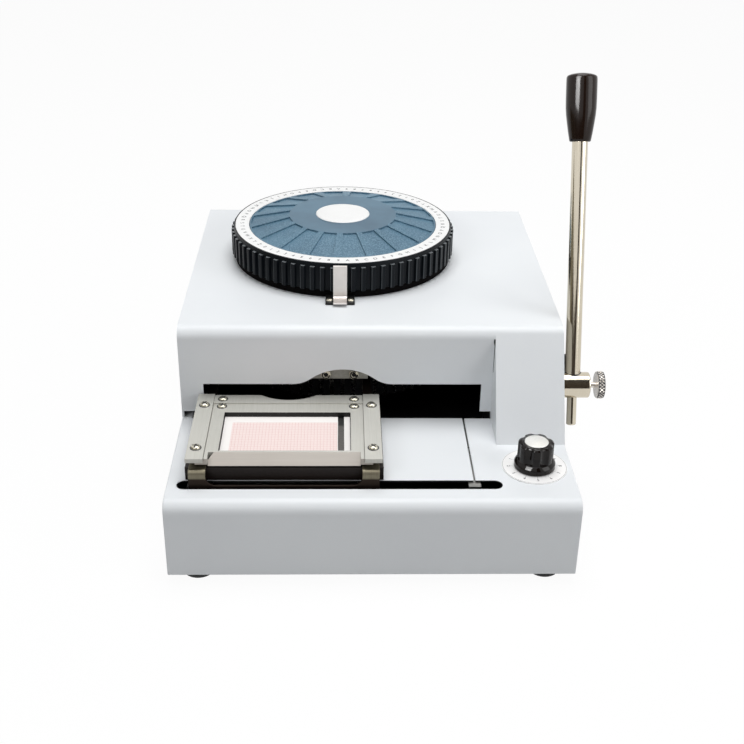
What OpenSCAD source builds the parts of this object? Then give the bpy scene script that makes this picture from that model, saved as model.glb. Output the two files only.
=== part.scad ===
/* [Casing] */
// Width of the casing over both side walls
case_w = 270; // [262:1:290]
// Depth of the casing from front to back
case_d = 348.5; // [346:0.5:370]
// Height of the base walls from their lower edge to the deck
base_h = 56; // [52:0.5:64]
// Height of the hood above the deck
hood_h = 70.4; // [68:0.2:80]
// Thickness of the casing sheet
wall = 1.6; // [1.2:0.1:2]
// Outer radius of the long folds along the front edges
fold_r = 8.5; // [6:0.5:11]
// Distance of the hood's front panel from the front of the base
hood_y = 110.4; // [108:0.2:113]
// Width of the sloping pier that houses the lever shaft
pier_w = 48; // [46:0.5:50]
// Distance of the pier's foot from the front of the base
pier_y = 72.5; // [68:0.5:78]

/* [Feet] */
// Diameter of a rubber foot
foot_d = 22; // [18:1:26]
// Height of a rubber foot
foot_h = 7; // [5:0.5:10]
// Distance of a foot's centre from the side of the casing
foot_inset_x = 19; // [16:1:26]
// Distance of a foot's centre from the front or back of the casing
foot_inset_y = 16; // [14:1:26]

/* [Deck] */
// Distance of the long slot's left end from the casing's left side
slot_margin = 6.7; // [5:0.1:9]
// Length of the long slot
slot_len = 213.5; // [205:0.5:216]
// Width of the long slot
slot_w = 10; // [9:0.5:11]
// Distance of the slot's front edge from the front of the base
slot_y = 18.1; // [17:0.1:19]
// Place of the deck plate's right seam across the machine
seam_x = 66.7; // [62:0.1:70]
// Width of the gap at the deck plate's seams
seam_gap = 1.2; // [0.6:0.1:1.6]
// Gap between the deck's rear edge and the hood panel
deck_gap = 1; // [0.6:0.1:2]

/* [Hood opening] */
// Distance of the opening's left edge from the casing's left side
opening_margin = 16.3; // [15:0.1:17]
// Width of the panel left standing between the opening and the pier
opening_post = 8; // [6:0.5:9]
// Height of the opening above the deck
opening_h = 27.2; // [25:0.2:30]
// Width of the arch with its rounded shoulders
arch_w = 71; // [66:1:76]
// Rise of the arch above the opening's straight edge
arch_rise = 11.8; // [9:0.2:12]
// Height of the gap left under the hood's front panel
panel_gap = 5; // [4:0.5:6]
// Radius of the arch
arch_r = 38; // [34:1:42]

/* [Dial] */
// Place of the dial's centre across the machine
dial_x = -19.8; // [-22:0.1:-18]
// Distance of the dial's centre from the front of the base
dial_y = 248.6; // [246:0.1:250]
// Radius of the dial over its grip ribs
dial_r = 87.2; // [80:0.2:88]
// Height of the ribbed rim
rim_h = 21.5; // [18:0.5:26]
// Gap between the hood and the rim
rim_gap = 5.5; // [4.5:0.5:7]
// Depth of a grip rib
rib_depth = 2.6; // [1.5:0.1:3.5]
// Distance of the ribs' upper ends below the index ring
rib_drop = 2.2; // [1:0.1:4]
// Number of grip ribs, and of type stations
type_count = 72; // [60:1:74]
// Width of the white index ring
ring_w = 10.6; // [8:0.2:12]
// Radius of the flat middle of the dial plate
flat_r = 41.5; // [34:0.5:46]
// Radius of the white cap in the middle
cap_r = 20.9; // [16:0.1:24]
// Rise of the dial plate from its edge to its flat middle
plate_rise = 7; // [4:0.5:9]
// Number of sunk panels round the dial plate
panel_count = 18; // [12:1:24]
// Depth of a sunk panel
panel_depth = 1.3; // [0.8:0.1:2.4]
// Diameter of the dial shaft
dial_shaft_d = 20; // [16:1:24]

/* [Type wheels] */
// Radius of the type wheels
type_r = 94; // [88:1:95]
// Height of a type wheel
type_h = 18; // [14:1:19]
// Gap between the two type wheels, where the card frame passes
throat_h = 14.5; // [14:0.5:16]
// Width of a punch or die across its slot
punch_w = 3; // [2.4:0.1:3.4]

/* [Lever] */
// Distance of the lever shaft from the front of the base
lever_y = 111.9; // [110:0.1:114]
// Height of the lever shaft above the deck
lever_rise = 26.2; // [23:0.1:28]
// Backward lean of the lever at rest
lever_lean = 19.6; // [10:0.2:24]
// Diameter of the lever shaft
shaft_d = 10; // [9:0.5:11]
// Diameter of the lever's hub
hub_d = 18.6; // [16:0.2:20]
// Length of the hub
hub_len = 20.4; // [20:0.1:24]
// Diameter of the lever rod
rod_d = 11; // [9:0.5:12]
// Distance from the shaft to the grip's lower end
rod_len = 171; // [150:1:190]
// Length of the grip
grip_len = 46.5; // [40:0.5:56]
// Diameter of the grip at its thick end
grip_d = 21.4; // [19:0.2:26]
// Throw of the eccentrics
throw = 3.5; // [3:0.1:3.6]
// Lever swing from rest to full pull
lever_swing = 65; // [50:1:70]

/* [Carriage] */
// Width of the carriage over both rails
carriage_w = 128; // [126:0.5:130]
// Distance of the carriage's left side from the casing's left side
carriage_margin = 13; // [12.5:0.1:13.4]
// Width of a rail
rail_w = 11.5; // [11:0.1:13]
// Thickness of a rail
rail_t = 3; // [2.4:0.1:3.4]
// Distance of the rails' front ends from the front of the base
rail_y = 22.5; // [22:0.1:24]
// Gap between the deck and the carriage bed
bed_gap = 1; // [0.6:0.1:1.4]
// Height of the carriage bed
bed_h = 9.5; // [8:0.1:9.8]
// Height of the arms that carry the card frame
arm_h = 3.5; // [3:0.1:4]
// Length of the arms behind the hood panel
arm_reach = 78; // [60:1:80]
// Diameter of the two guide rods
guide_d = 8; // [6:0.5:9]

/* [Card frame] */
// Width of the card window
window_w = 87.2; // [84:0.2:90]
// Depth of the card window
window_d = 50; // [46:0.5:54]
// Thickness of the frame's side bars
frame_t = 4.4; // [4:0.1:4.6]
// Distance of the window's front edge from the front of the base
window_y = 35; // [34.5:0.1:36]
// Depth of the bar behind the window
back_bar_d = 23; // [18:0.5:23.5]
// Depth of the bar before the window
front_bar_d = 1.8; // [1.5:0.1:4]
// Height of the sloping front lip
lip_h = 6.6; // [5.5:0.1:7]

/* [Spacing knob] */
// Distance of the knob's axis from the casing's right side
knob_inset = 25.6; // [23:0.1:26]
// Distance of the knob's axis from the front of the base
knob_y = 44.6; // [43:0.1:49]
// Diameter of the knob's skirt
knob_d = 27.7; // [24:0.1:30]
// Height of the knob
knob_h = 19.3; // [14:0.1:22]
// Number of grip lobes round the knob
lobe_count = 7; // [5:1:10]
// Diameter of the scale plate under the knob
scale_d = 44; // [40:0.5:46]

/* [Clearances] */
// Gap between sliding faces
slide_gap = 0.3; // [0.3:0.05:0.4]
// Radial clearance of a shaft in its bore
run_gap = 0.05; // [0.03:0.01:0.08]

/* [Hidden] */
$fn = 64;

// Levels above the floor
base_z = foot_h;
deck_z = base_z + base_h;
hood_z = deck_z + hood_h;
plate_t = 3;
floor_z = base_z + plate_t;
ceiling_z = hood_z - wall - slide_gap;

// Places across and along the machine
left_x = -case_w / 2;
right_x = case_w / 2;
pier_x = right_x - pier_w;
slot_x = left_x + slot_margin;
slot_back = slot_y + slot_w;
deck_end = hood_y - deck_gap;
plate_x = slot_x + slot_w;
opening_x = left_x + opening_margin;
opening_end = pier_x - opening_post;

// The slope of the pier is tangent to the hood's top fold
fold_c = [hood_y + fold_r, hood_z - fold_r];
slope_run = [fold_c[0] - pier_y, fold_c[1] - deck_z];
slope_a = atan2(slope_run[1], slope_run[0]) + asin(fold_r / norm(slope_run));

// The lever shaft and the press it works
lever_z = deck_z + lever_rise;
cheek_t = 4;
cheek_gap = 1.4;
inner_cheek_x = pier_x + wall + cheek_gap;
cheek_inset = 8;
outer_cheek_x = right_x - cheek_inset - cheek_t;
bay_gap = 2;
yoke_apart = 2;
yoke_w = (outer_cheek_x - inner_cheek_x - cheek_t - 3 * bay_gap - yoke_apart) / 2;
upper_yoke_x = inner_cheek_x + cheek_t + bay_gap;
lower_yoke_x = outer_cheek_x - bay_gap - yoke_w;
eccentric_wall = 1.5;
eccentric_d = shaft_d + 2 * (throw + eccentric_wall);
half_swing = lever_swing / 2;
stroke = 2 * throw * sin(half_swing);
jaw_gap = 0.2;
jaw_t = 6;
yoke_front = lever_y - eccentric_d / 2 - 1;
yoke_web = lever_y + throw + eccentric_d / 2 + 1;
punch_proud = 1.5;
punch_l = 8;
press_y = dial_y - type_r + punch_l / 2;
web_thickness = 4;
beam_y = yoke_web + web_thickness;
beam_margin = 8;
beam_d = press_y + beam_margin - beam_y;
beam_h = 12;
column_d = 10;
column_margin = 9;
column_ys = [beam_y + column_margin + 1, beam_y + beam_d - column_margin];
bridge_t = 4;
bridge_z = ceiling_z - bridge_t;
beam_gap = 0.6;
upper_beam_z = bridge_z - beam_gap - beam_h;
lower_beam_rise = 6;
lower_beam_z = floor_z + lower_beam_rise;
beam_reach = 24;
beam_x = dial_x - beam_reach;

// The wheels leave the throat free for the card frame and its arms
throat_drop = 1.2;
throat_z = deck_z + bed_gap + bed_h - throat_drop;
upper_wheel_z = throat_z + throat_h;
lower_wheel_z = throat_z - type_h;

// The carriage, from the bed up to the rails
rail_x = left_x + carriage_margin;
rail_end = deck_end - 0.4;
bed_z = deck_z + bed_gap;
bed_top = bed_z + bed_h;
arm_top = bed_top + arm_h;
tongue_t = 2.3;
rail_z = arm_top + tongue_t + 2 * slide_gap;
rail_top = rail_z + rail_t;
arm_w = 6.4;
arm_inset = 4.7;
arm_end = hood_y + arm_reach;
frame_x = rail_x + rail_w + slide_gap;
frame_w = carriage_w - 2 * (rail_w + slide_gap);
frame_z = arm_top + slide_gap;
frame_top = frame_z + frame_t;
frame_step = 0.8;
frame_screw_h = 1.6;
frame_rear = window_y + window_d + back_bar_d;
frame_front = window_y - front_bar_d;
window_x = rail_x + (carriage_w - window_w) / 2;
apron_t = 1.5;
apron_y = rail_y - 2.5;
apron_flange = 12;
arm_y = apron_y + apron_flange + 0.4;
leg_inset = 1.8;
leg_w = rail_w + 1.5;
block_w = 14;
guide_front = [apron_y + apron_t + 7, deck_z - 13];
guide_rear = [hood_y + wall + 7.5, deck_z - 12];
block_h = 16;
block_d = 14;

// The dial
rim_z = hood_z + rim_gap;
ring_z = rim_z + rim_h;
ring_t = 0.8;
ring_inset = 3.2;
ring_ledge = 1.2;
ring_outer = dial_r - ring_inset;
ring_inner = ring_outer - ring_w;
web_t = 4;
dial_plate_t = 3.6;
plate_drop = 0.2;
dial_plate_z = ring_z - plate_drop - dial_plate_t;
knob_x = right_x - knob_inset;
rod_x = right_x + 9.6;
hub_x = right_x + 0.8;
hub_end = hub_x + hub_len;
shank_d = rod_d - 4;
seat_r = hub_d / 2 - 1.4;
head_x = hub_end + 5.3;
head_t = 5.2;
screw_d = 4;
machine_end = head_x + head_t;

hood_screw_h = 2.2;

// The middle of the whole machine's footprint is the origin
mid_x = (left_x + machine_end) / 2;
mid_y = (case_d + hood_screw_h) / 2;

function polar(r, a) = [r * cos(a), r * sin(a)];
// Outline of a round rim with straight-sided teeth, or slots where the tip lies inside the root
function toothed(root_r, tip_r, root_half, tip_half, count) = [
    for (i = [0 : count - 1])
        let (a = 360 * i / count, b = asin(root_half / root_r), c = asin(tip_half / tip_r))
        each [polar(root_r, a - b), polar(tip_r, a - c), polar(tip_r, a + c), polar(root_r, a + b)]
];

module placed() {
    translate([-mid_x, -mid_y, 0]) children();
}

// A side-view outline, drawn as depth and height, swept across the machine
module along_x(x0, x1) {
    translate([x0, 0, 0]) rotate([90, 0, 90]) linear_extrude(x1 - x0) children();
}

// A front-view outline, drawn as width and height, swept from front to back
module along_y(y0, y1) {
    translate([0, y1, 0]) rotate([90, 0, 0]) linear_extrude(y1 - y0) children();
}

// A plan-view outline swept upwards
module along_z(z0, z1) {
    translate([0, 0, z0]) linear_extrude(z1 - z0) children();
}

module bar(x0, x1, y0, y1, z0, z1) {
    translate([x0, y0, z0]) cube([x1 - x0, y1 - y0, z1 - z0]);
}

module round_x(x0, x1, at, d) {
    translate([x0, at[0], at[1]]) rotate([0, 90, 0]) cylinder(h = x1 - x0, d = d);
}

module at_dial(z) {
    translate([dial_x, dial_y, z]) children();
}

module at_lever() {
    translate([0, lever_y, lever_z]) rotate([-lever_lean, 0, 0]) children();
}

module mirrored_at(x) {
    children();
    translate([2 * x, 0, 0]) mirror([1, 0, 0]) children();
}

// Block outline with its front top corner rounded
module fold_profile(d, h, r) {
    translate([r, 0]) square([d - r, h]);
    square([d, h - r]);
    translate([r, h - r]) circle(r);
}

// Outline of the pier in front of the hood, drawn in by the given inset
module pier_profile(inset) {
    r = fold_r - inset;
    tangent = fold_c + r * [-sin(slope_a), cos(slope_a)];
    bottom = deck_z - (inset > 0 ? 1 : 0);
    foot = tangent[0] - (tangent[1] - bottom) / tan(slope_a);
    polygon([[foot, bottom], tangent, fold_c, [fold_c[0], bottom]]);
    translate(fold_c) circle(r);
}

// Opening in the hood's front panel with its arch over the press head
module opening_outline() {
    top = deck_z + opening_h;
    shoulder_r = (pow(arch_w / 2, 2) - pow(arch_r, 2) + pow(arch_r - arch_rise, 2)) / (2 * arch_rise);
    arch_c = [dial_x, top + arch_rise - arch_r];
    translate([opening_x, deck_z - 1]) square([opening_end - opening_x, opening_h + 1]);
    translate([left_x + wall, deck_z - 1]) square([pier_x - left_x - wall, 1 + panel_gap]);
    intersection() {
        translate(arch_c) circle(arch_r);
        translate([dial_x - arch_r, top - 1]) square([2 * arch_r, arch_rise + 2]);
    }
    for (side = [-1, 1]) {
        shoulder = [dial_x + side * arch_w / 2, top + shoulder_r];
        meet = arch_c + (shoulder - arch_c) * arch_r / (arch_r + shoulder_r);
        difference() {
            polygon([
                [shoulder[0], top], meet, [dial_x, top], [dial_x, top - 1], [shoulder[0], top - 1]
            ]);
            translate(shoulder) circle(shoulder_r);
        }
    }
}

module slot_outline() {
    hull_r = slot_w / 2;
    translate([slot_x + hull_r, slot_y]) square([slot_len - slot_w, slot_w]);
    for (x = [slot_x + hull_r, slot_x + slot_len - hull_r]) {
        translate([x, slot_y + hull_r]) circle(hull_r);
    }
}

// The deck runs back beside the opening at the left, and is cut away under the hood and the pier
ledge_w = 4;
module deck_cuts() {
    strip_w = slot_margin + 1;
    strip_d = 14;
    shaft_room = 17.5;
    bay_x = inner_cheek_x - cheek_gap + 0.4;
    slot_outline();
    translate([plate_x, slot_y + slot_w / 2]) square([seam_x + seam_gap - plate_x, deck_end - slot_y]);
    translate([left_x + strip_w, deck_end]) square([case_w - strip_w - ledge_w, strip_d]);
    translate([left_x + ledge_w, deck_end + strip_d])
        square([case_w - 2 * ledge_w, case_d - ledge_w - deck_end - strip_d]);
    translate([bay_x, pier_y + shaft_room]) square([right_x - ledge_w - bay_x, deck_end - pier_y]);
}

module base_shell() {
    color("gainsboro")
    difference() {
        along_x(left_x, right_x) translate([0, base_z]) fold_profile(case_d, base_h, fold_r);
        along_x(left_x + wall, right_x - wall)
            translate([wall, base_z - 1])
            fold_profile(case_d - 2 * wall, base_h - wall + 1, fold_r - wall);
        along_z(deck_z - wall - 1, deck_z + 1) deck_cuts();
        translate([knob_x, knob_y, deck_z - wall - 1])
            cylinder(h = wall + 2, d = knob_stem_d + 2 * run_gap);
    }
}

module hood() {
    shaft_room = 2;
    flange_room = 1;
    color("gainsboro")
    difference() {
        union() {
            along_x(left_x, right_x)
                translate([hood_y, deck_z]) fold_profile(case_d - hood_y, hood_h, fold_r);
            along_x(pier_x, right_x) pier_profile(0);
        }
        along_x(left_x + wall, right_x - wall) translate([hood_y + wall, deck_z - 1])
            fold_profile(case_d - hood_y - 2 * wall, hood_h - wall + 1, fold_r - wall);
        along_x(pier_x + wall, right_x - wall) pier_profile(wall);
        along_y(hood_y - 1, hood_y + wall + 1) opening_outline();
        at_dial(hood_z - wall - 1) cylinder(h = wall + 2, d = bush_flange_d + 2 * flange_room);
        round_x(right_x - wall - 1, right_x + 1, [lever_y, lever_z], shaft_d + 2 * shaft_room);
    }
}

module deck_plate() {
    color("gainsboro")
    bar(plate_x + seam_gap, seam_x, slot_back, deck_end, deck_z - wall, deck_z);
}

// Steel strips under the two seams carry the deck plate
strip_t = 2;
strip_w = 8;
module deck_strips() {
    color("silver")
    for (x = [plate_x + seam_gap / 2, seam_x + seam_gap / 2]) {
        bar(x - strip_w / 2, x + strip_w / 2, apron_y + apron_t + 1.2, deck_end - 1,
            deck_z - wall - strip_t, deck_z - wall);
    }
}

module bottom_plate() {
    edge = wall + slide_gap;
    color("dimgray")
    bar(left_x + edge, right_x - edge, edge, case_d - edge, base_z, floor_z);
}

module feet() {
    chamfer = 1.5;
    color("black")
    for (x = [left_x + foot_inset_x, right_x - foot_inset_x], y = [foot_inset_y, case_d - foot_inset_y]) {
        translate([x, y, 0]) rotate_extrude()
            polygon([
                [0, 0], [foot_d / 2 - chamfer, 0], [foot_d / 2, chamfer], [foot_d / 2, foot_h], [0, foot_h]
            ]);
    }
}

// Pan-head screw standing on its seat, with its shank below the seat
module pan_screw(head_d, head_h, shank, length) {
    rotate_extrude() polygon([
        [0, -length], [shank / 2, -length], [shank / 2, 0], [head_d / 2, 0],
        [head_d / 2, head_h * 0.5], [head_d * 0.3, head_h], [0, head_h]
    ]);
}

// The hood is held down at the back of the casing
module hood_screws() {
    inset = 30;
    height = 12;
    head_d = 7;
    color("silver")
    for (x = [left_x + inset, right_x - inset], z = [deck_z - height, deck_z + height]) {
        translate([x, case_d, z]) rotate([-90, 0, 0]) pan_screw(head_d, hood_screw_h, head_d / 2, 0);
    }
}

// Inner frame: a plate over the type wheels stands on four posts along the side walls
post_d = 12;
post_room = 0.6;
post_margin = ledge_w - wall + post_d / 2 + post_room;
post_ahead = 44;
post_x = [left_x + wall + post_margin, right_x - wall - post_margin];
post_y = [dial_y - post_ahead, case_d - wall - post_margin];
bush_wide = 4;
bush_d = dial_shaft_d + 2 * bush_wide;
bush_flange_d = bush_d + 12;

module top_plate() {
    margin = post_margin - slide_gap;
    color("dimgray")
    difference() {
        bar(post_x[0] - margin, post_x[1] + margin, post_y[0] - margin, post_y[1] + margin,
            bridge_z, ceiling_z);
        at_dial(bridge_z - 1) cylinder(h = bridge_t + 2, d = bush_d + 2 * run_gap);
    }
}

module frame_posts() {
    color("silver")
    for (x = post_x, y = post_y) {
        translate([x, y, floor_z]) cylinder(h = bridge_z - floor_z, d = post_d);
    }
}

// Outline of a cheek: it stands on the bottom plate and follows the pier's slope
bush_wall = 3;
module cheek(x) {
    slope_y = fold_c[0] + 3;
    along_x(x, x + cheek_t) difference() {
        polygon([
            [yoke_front - 1, floor_z], [beam_y + beam_d + 4, floor_z], [beam_y + beam_d + 4, bridge_z],
            [slope_y, bridge_z], [yoke_front - 1, lever_z]
        ]);
        translate([lever_y, lever_z]) circle(d = shaft_d + 2 * bush_wall + 4 * run_gap);
    }
}

module inner_cheek() {
    color("dimgray")
    difference() {
        cheek(inner_cheek_x);
        round_x(inner_cheek_x - 1, inner_cheek_x + cheek_t + 1, guide_rear, guide_d + 2 * run_gap);
        for (z = [lower_beam_z, upper_beam_z]) {
            bar(inner_cheek_x - 1, inner_cheek_x + cheek_t + 1, beam_y - 1, beam_y + beam_d + 1,
                z - stroke - 1, z + beam_h + stroke + 1);
        }
    }
}

module outer_cheek() {
    color("dimgray") cheek(outer_cheek_x);
}

// Plate across both cheeks that holds the heads of the press columns
module cheek_bridge() {
    color("dimgray")
    bar(inner_cheek_x, outer_cheek_x + cheek_t, fold_c[0] + 3, beam_y + beam_d + 4, bridge_z, ceiling_z);
}

module shaft_bush(x) {
    difference() {
        round_x(x, x + cheek_t, [lever_y, lever_z], shaft_d + 2 * bush_wall + 2 * run_gap);
        round_x(x - 1, x + cheek_t + 1, [lever_y, lever_z], shaft_d + 2 * run_gap);
    }
}

column_x = (upper_yoke_x + lower_yoke_x + yoke_w) / 2;
module press_columns() {
    color("silver")
    for (y = column_ys) {
        translate([column_x, y, floor_z]) cylinder(h = bridge_z - floor_z, d = column_d);
    }
}

// Foot bearing of the dial shaft
pedestal_gap = 3;
pedestal_floor = 3;
pedestal_wall = 7;
pedestal_edge = 2;
pedestal_flange = 6;
pedestal_r = 40;
pedestal_h = lower_wheel_z - punch_proud - pedestal_gap - floor_z;
module wheel_pedestal() {
    bore_r = dial_shaft_d / 2 + run_gap;
    color("dimgray")
    at_dial(floor_z) rotate_extrude() polygon([
        [bore_r, pedestal_floor], [bore_r, pedestal_h], [bore_r + pedestal_wall, pedestal_h],
        [bore_r + pedestal_wall + pedestal_edge, pedestal_edge + pedestal_flange],
        [pedestal_r, pedestal_flange], [pedestal_r, 0], [0, 0], [0, pedestal_floor]
    ]);
}

module dial_bush() {
    bore_r = dial_shaft_d / 2 + run_gap;
    seat = bridge_t + slide_gap;
    top = seat + wall + 1.5;
    at_dial(bridge_z) rotate_extrude() polygon([
        [bore_r, 0], [bush_d / 2, 0], [bush_d / 2, seat],
        [bush_flange_d / 2, seat], [bush_flange_d / 2, top], [bore_r, top]
    ]);
}

module bearing_bushes() {
    color("peru") {
        shaft_bush(inner_cheek_x);
        shaft_bush(outer_cheek_x);
        dial_bush();
    }
}

// The pointer stands before the rim and marks the chosen character
pointer_w = 10;
pointer_t = 1.2;
pointer_gap = 4;
pointer_shift = 2;
pointer_x = dial_x - pointer_shift;
pointer_y = dial_y - dial_r - pointer_gap;
base_plate_t = 2;
base_half = 10.6;
base_front = 7;
base_back = 8;
// Strip bent at a right angle, with its foot forward on the base plate
module pointer_profile() {
    foot = 10.5;
    bend = 3;
    low = hood_z + base_plate_t;
    top = ring_z + 0.6;
    translate([pointer_y, low + bend]) square([pointer_t, top - low - bend]);
    translate([pointer_y - foot, low]) square([foot + pointer_t - bend, pointer_t]);
    translate([pointer_y + pointer_t - bend, low + bend]) intersection() {
        difference() {
            circle(bend);
            circle(bend - pointer_t);
        }
        translate([0, -bend]) square(bend);
    }
}

module pointer() {
    color("whitesmoke")
    along_x(pointer_x - pointer_w / 2, pointer_x + pointer_w / 2) pointer_profile();
}

module pointer_base() {
    color("black")
    bar(pointer_x - base_half, pointer_x + base_half, pointer_y - base_front, pointer_y + base_back,
        hood_z, hood_z + base_plate_t);
}

module pointer_screws() {
    head_d = 4.4;
    head_h = 1.4;
    head_back = 3;
    reach = (pointer_w / 2 + base_half) / 2;
    color("silver")
    for (side = [-1, 1]) {
        translate([pointer_x + side * reach, pointer_y - head_back, hood_z + base_plate_t])
            pan_screw(head_d, head_h, head_d / 2, 0);
    }
}

module front_guide_rod() {
    color("silver")
    round_x(left_x + wall + 2, pier_x + 3, guide_front, guide_d);
}

module rear_guide_rod() {
    color("silver")
    round_x(left_x + wall + 2, inner_cheek_x + cheek_t, guide_rear, guide_d);
}

// The left bracket holds both guide rods, the right stand holds the front one
rod_ear = 8;
module rod_bracket() {
    x = left_x + wall + 1;
    rail_h = 10;
    difference() {
        bar(x, x + cheek_t, guide_front[0] - rod_ear, guide_rear[0] + rod_ear, floor_z, deck_z - wall - 4);
        round_x(x - 1, x + cheek_t + 1, guide_front, guide_d + 2 * run_gap);
        round_x(x - 1, x + cheek_t + 1, guide_rear, guide_d + 2 * run_gap);
        bar(x - 1, x + cheek_t + 1, guide_front[0] + rod_ear, guide_rear[0] - rod_ear,
            floor_z + rail_h, deck_z);
    }
}

module rod_stand() {
    x = pier_x - 1;
    difference() {
        bar(x, x + cheek_t, guide_front[0] - rod_ear, guide_front[0] + rod_ear, floor_z, deck_z - wall - 1);
        round_x(x - 1, x + cheek_t + 1, guide_front, guide_d + 2 * run_gap);
    }
}

module rod_brackets() {
    color("dimgray") {
        rod_bracket();
        rod_stand();
    }
}

scale_t = 0.6;
knob_stem_d = 6;
module scale_plate() {
    color("white")
    translate([knob_x, knob_y, deck_z]) difference() {
        cylinder(h = scale_t, d = scale_d);
        translate([0, 0, -1]) cylinder(h = scale_t + 2, d = knob_stem_d + 2 * run_gap);
    }
}

// Rubber button on the side wall that the lever leans back on
module lever_stop() {
    stop_r = 6.5;
    stop_t = 8.5;
    stop_up = 14;
    rest_gap = 0.4;
    edge = 1.1;
    color("black")
    at_lever() translate([right_x, rod_d / 2 + rest_gap + stop_r, stop_up])
        rotate([0, 90, 0]) rotate_extrude()
        polygon([[0, 0], [stop_r, 0], [stop_r, stop_t - edge], [stop_r - edge, stop_t], [0, stop_t]]);
}

// Moulded wheel with a ribbed rim, an open underside and a shaft hub
module dial_wheel() {
    rib_r = dial_r - rib_depth;
    rib_foot = 2.3;
    rib_tip = 1.5;
    rim_wall = 4;
    hub_r = dial_shaft_d / 2 + 8;
    ring_seat = rim_h - ring_t;
    web_top = dial_plate_z - rim_z;
    web_z = web_top - web_t;
    color("darkslategray")
    at_dial(rim_z) difference() {
        union() {
            cylinder(h = rim_h, r = ring_outer + ring_ledge);
            linear_extrude(ring_seat - rib_drop)
                polygon(toothed(rib_r, dial_r, rib_foot, rib_tip, type_count));
        }
        translate([0, 0, -1]) difference() {
            cylinder(h = web_z + 1, r = rib_r - rim_wall);
            cylinder(h = web_z + 2, r = hub_r);
        }
        translate([0, 0, web_top]) cylinder(h = dial_plate_t + 1, r = ring_inner);
        translate([0, 0, ring_seat]) cylinder(h = ring_t + 1, r = ring_outer + run_gap);
        translate([0, 0, -1]) cylinder(h = rim_h, d = dial_shaft_d + 2 * run_gap);
    }
}

// Top plate of the dial: a low cone round a flat middle, with sunk panels between raised lands
module dial_plate() {
    pitch = 360 / panel_count;
    panel_a = pitch * 0.7;
    start = 10;
    shell_t = 3;
    seat_w = 6;
    edge_r = ring_inner - slide_gap;
    top = dial_plate_t + plate_rise;
    fall = plate_rise / (edge_r - flat_r);
    panel_r = [flat_r + 0.4, ring_inner - 1.6];
    panel_top = [for (r = panel_r) top - (r - flat_r) * fall];
    color("steelblue")
    at_dial(dial_plate_z) difference() {
        rotate_extrude() polygon([
            [0, top - shell_t], [flat_r, top - shell_t], [edge_r - seat_w, 0], [edge_r, 0],
            [edge_r, dial_plate_t], [flat_r, top], [0, top]
        ]);
        for (i = [0 : panel_count - 1]) {
            rotate(start + i * pitch) rotate_extrude(angle = panel_a) polygon([
                [panel_r[0], panel_top[0] - panel_depth], [panel_r[1], panel_top[1] - panel_depth],
                [panel_r[1], panel_top[1] + 1], [panel_r[0], panel_top[0] + 1]
            ]);
        }
    }
}

module index_ring() {
    color("white")
    at_dial(ring_z - ring_t) difference() {
        cylinder(h = ring_t, r = ring_outer);
        translate([0, 0, -1]) cylinder(h = ring_t + 2, r = ring_inner);
    }
}

module dial_cap() {
    cap_t = 1.2;
    color("white")
    at_dial(ring_z - plate_drop + plate_rise) rotate_extrude()
        polygon([[0, 0], [cap_r, 0], [cap_r, cap_t / 2], [cap_r - cap_t / 2, cap_t], [0, cap_t]]);
}

module dial_shaft() {
    foot = floor_z + pedestal_floor + slide_gap;
    color("silver")
    at_dial(foot) cylinder(h = dial_plate_z - foot, d = dial_shaft_d);
}

// Type wheel with a radial slot for each punch
module type_wheel(z) {
    hub_r = dial_shaft_d / 2 + 6;
    half = punch_w / 2 + run_gap;
    web_inset = 5;
    at_dial(z) difference() {
        linear_extrude(type_h) polygon(toothed(type_r, type_r - punch_l, half, half, type_count));
        for (face = [-1, type_h - web_inset]) {
            translate([0, 0, face]) difference() {
                cylinder(h = web_inset + 1, r = type_r - punch_l - 8);
                translate([0, 0, -1]) cylinder(h = web_inset + 3, r = hub_r);
            }
        }
        translate([0, 0, -1]) cylinder(h = type_h + 2, d = dial_shaft_d + 2 * run_gap);
    }
}

module type_set(z) {
    for (i = [0 : type_count - 1]) {
        at_dial(z) rotate(360 * i / type_count)
            translate([type_r - punch_l + run_gap, -punch_w / 2, 0])
            cube([punch_l - 2 * run_gap, punch_w, type_h + punch_proud]);
    }
}

module upper_type_wheel() {
    color("dimgray") type_wheel(upper_wheel_z);
}

module lower_type_wheel() {
    color("dimgray") type_wheel(lower_wheel_z);
}

module punches() {
    color("silver") type_set(upper_wheel_z);
}

module dies() {
    color("silver") type_set(lower_wheel_z - punch_proud);
}

module lever_shaft() {
    color("silver")
    round_x(inner_cheek_x, rod_x - rod_d / 2 - 0.6, [lever_y, lever_z], shaft_d);
}

// Hub with a spot-faced cross hole for the rod and a tapped end for the thumb screw
module lever_hub() {
    color("silver")
    at_lever() difference() {
        union() {
            round_x(hub_x, hub_end - 1, [0, 0], hub_d);
            translate([hub_end - 1, 0, 0]) rotate([0, 90, 0]) cylinder(h = 1, d1 = hub_d, d2 = hub_d - 2);
        }
        round_x(hub_x - 1, rod_x - rod_d / 2 - 0.5, [0, 0], shaft_d + 2 * run_gap);
        translate([rod_x, 0, -hub_d]) cylinder(h = 2 * hub_d, d = shank_d + 2 * run_gap);
        translate([rod_x, 0, seat_r]) cylinder(h = hub_d, d = rod_d + 0.6);
        round_x(rod_x, hub_end + 1, [0, 0], screw_d + 2 * run_gap);
    }
}

tail_len = 29;
spigot_d = rod_d - 4;
spigot_len = 18;
module lever_rod() {
    chamfer = 0.8;
    color("silver")
    at_lever() translate([rod_x, 0, 0]) rotate_extrude() polygon([
        [0, -tail_len], [shank_d / 2 - chamfer, -tail_len], [shank_d / 2, chamfer - tail_len],
        [shank_d / 2, seat_r],
        [rod_d / 2, seat_r], [rod_d / 2, rod_len], [spigot_d / 2, rod_len],
        [spigot_d / 2, rod_len + spigot_len], [0, rod_len + spigot_len]
    ]);
}

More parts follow.
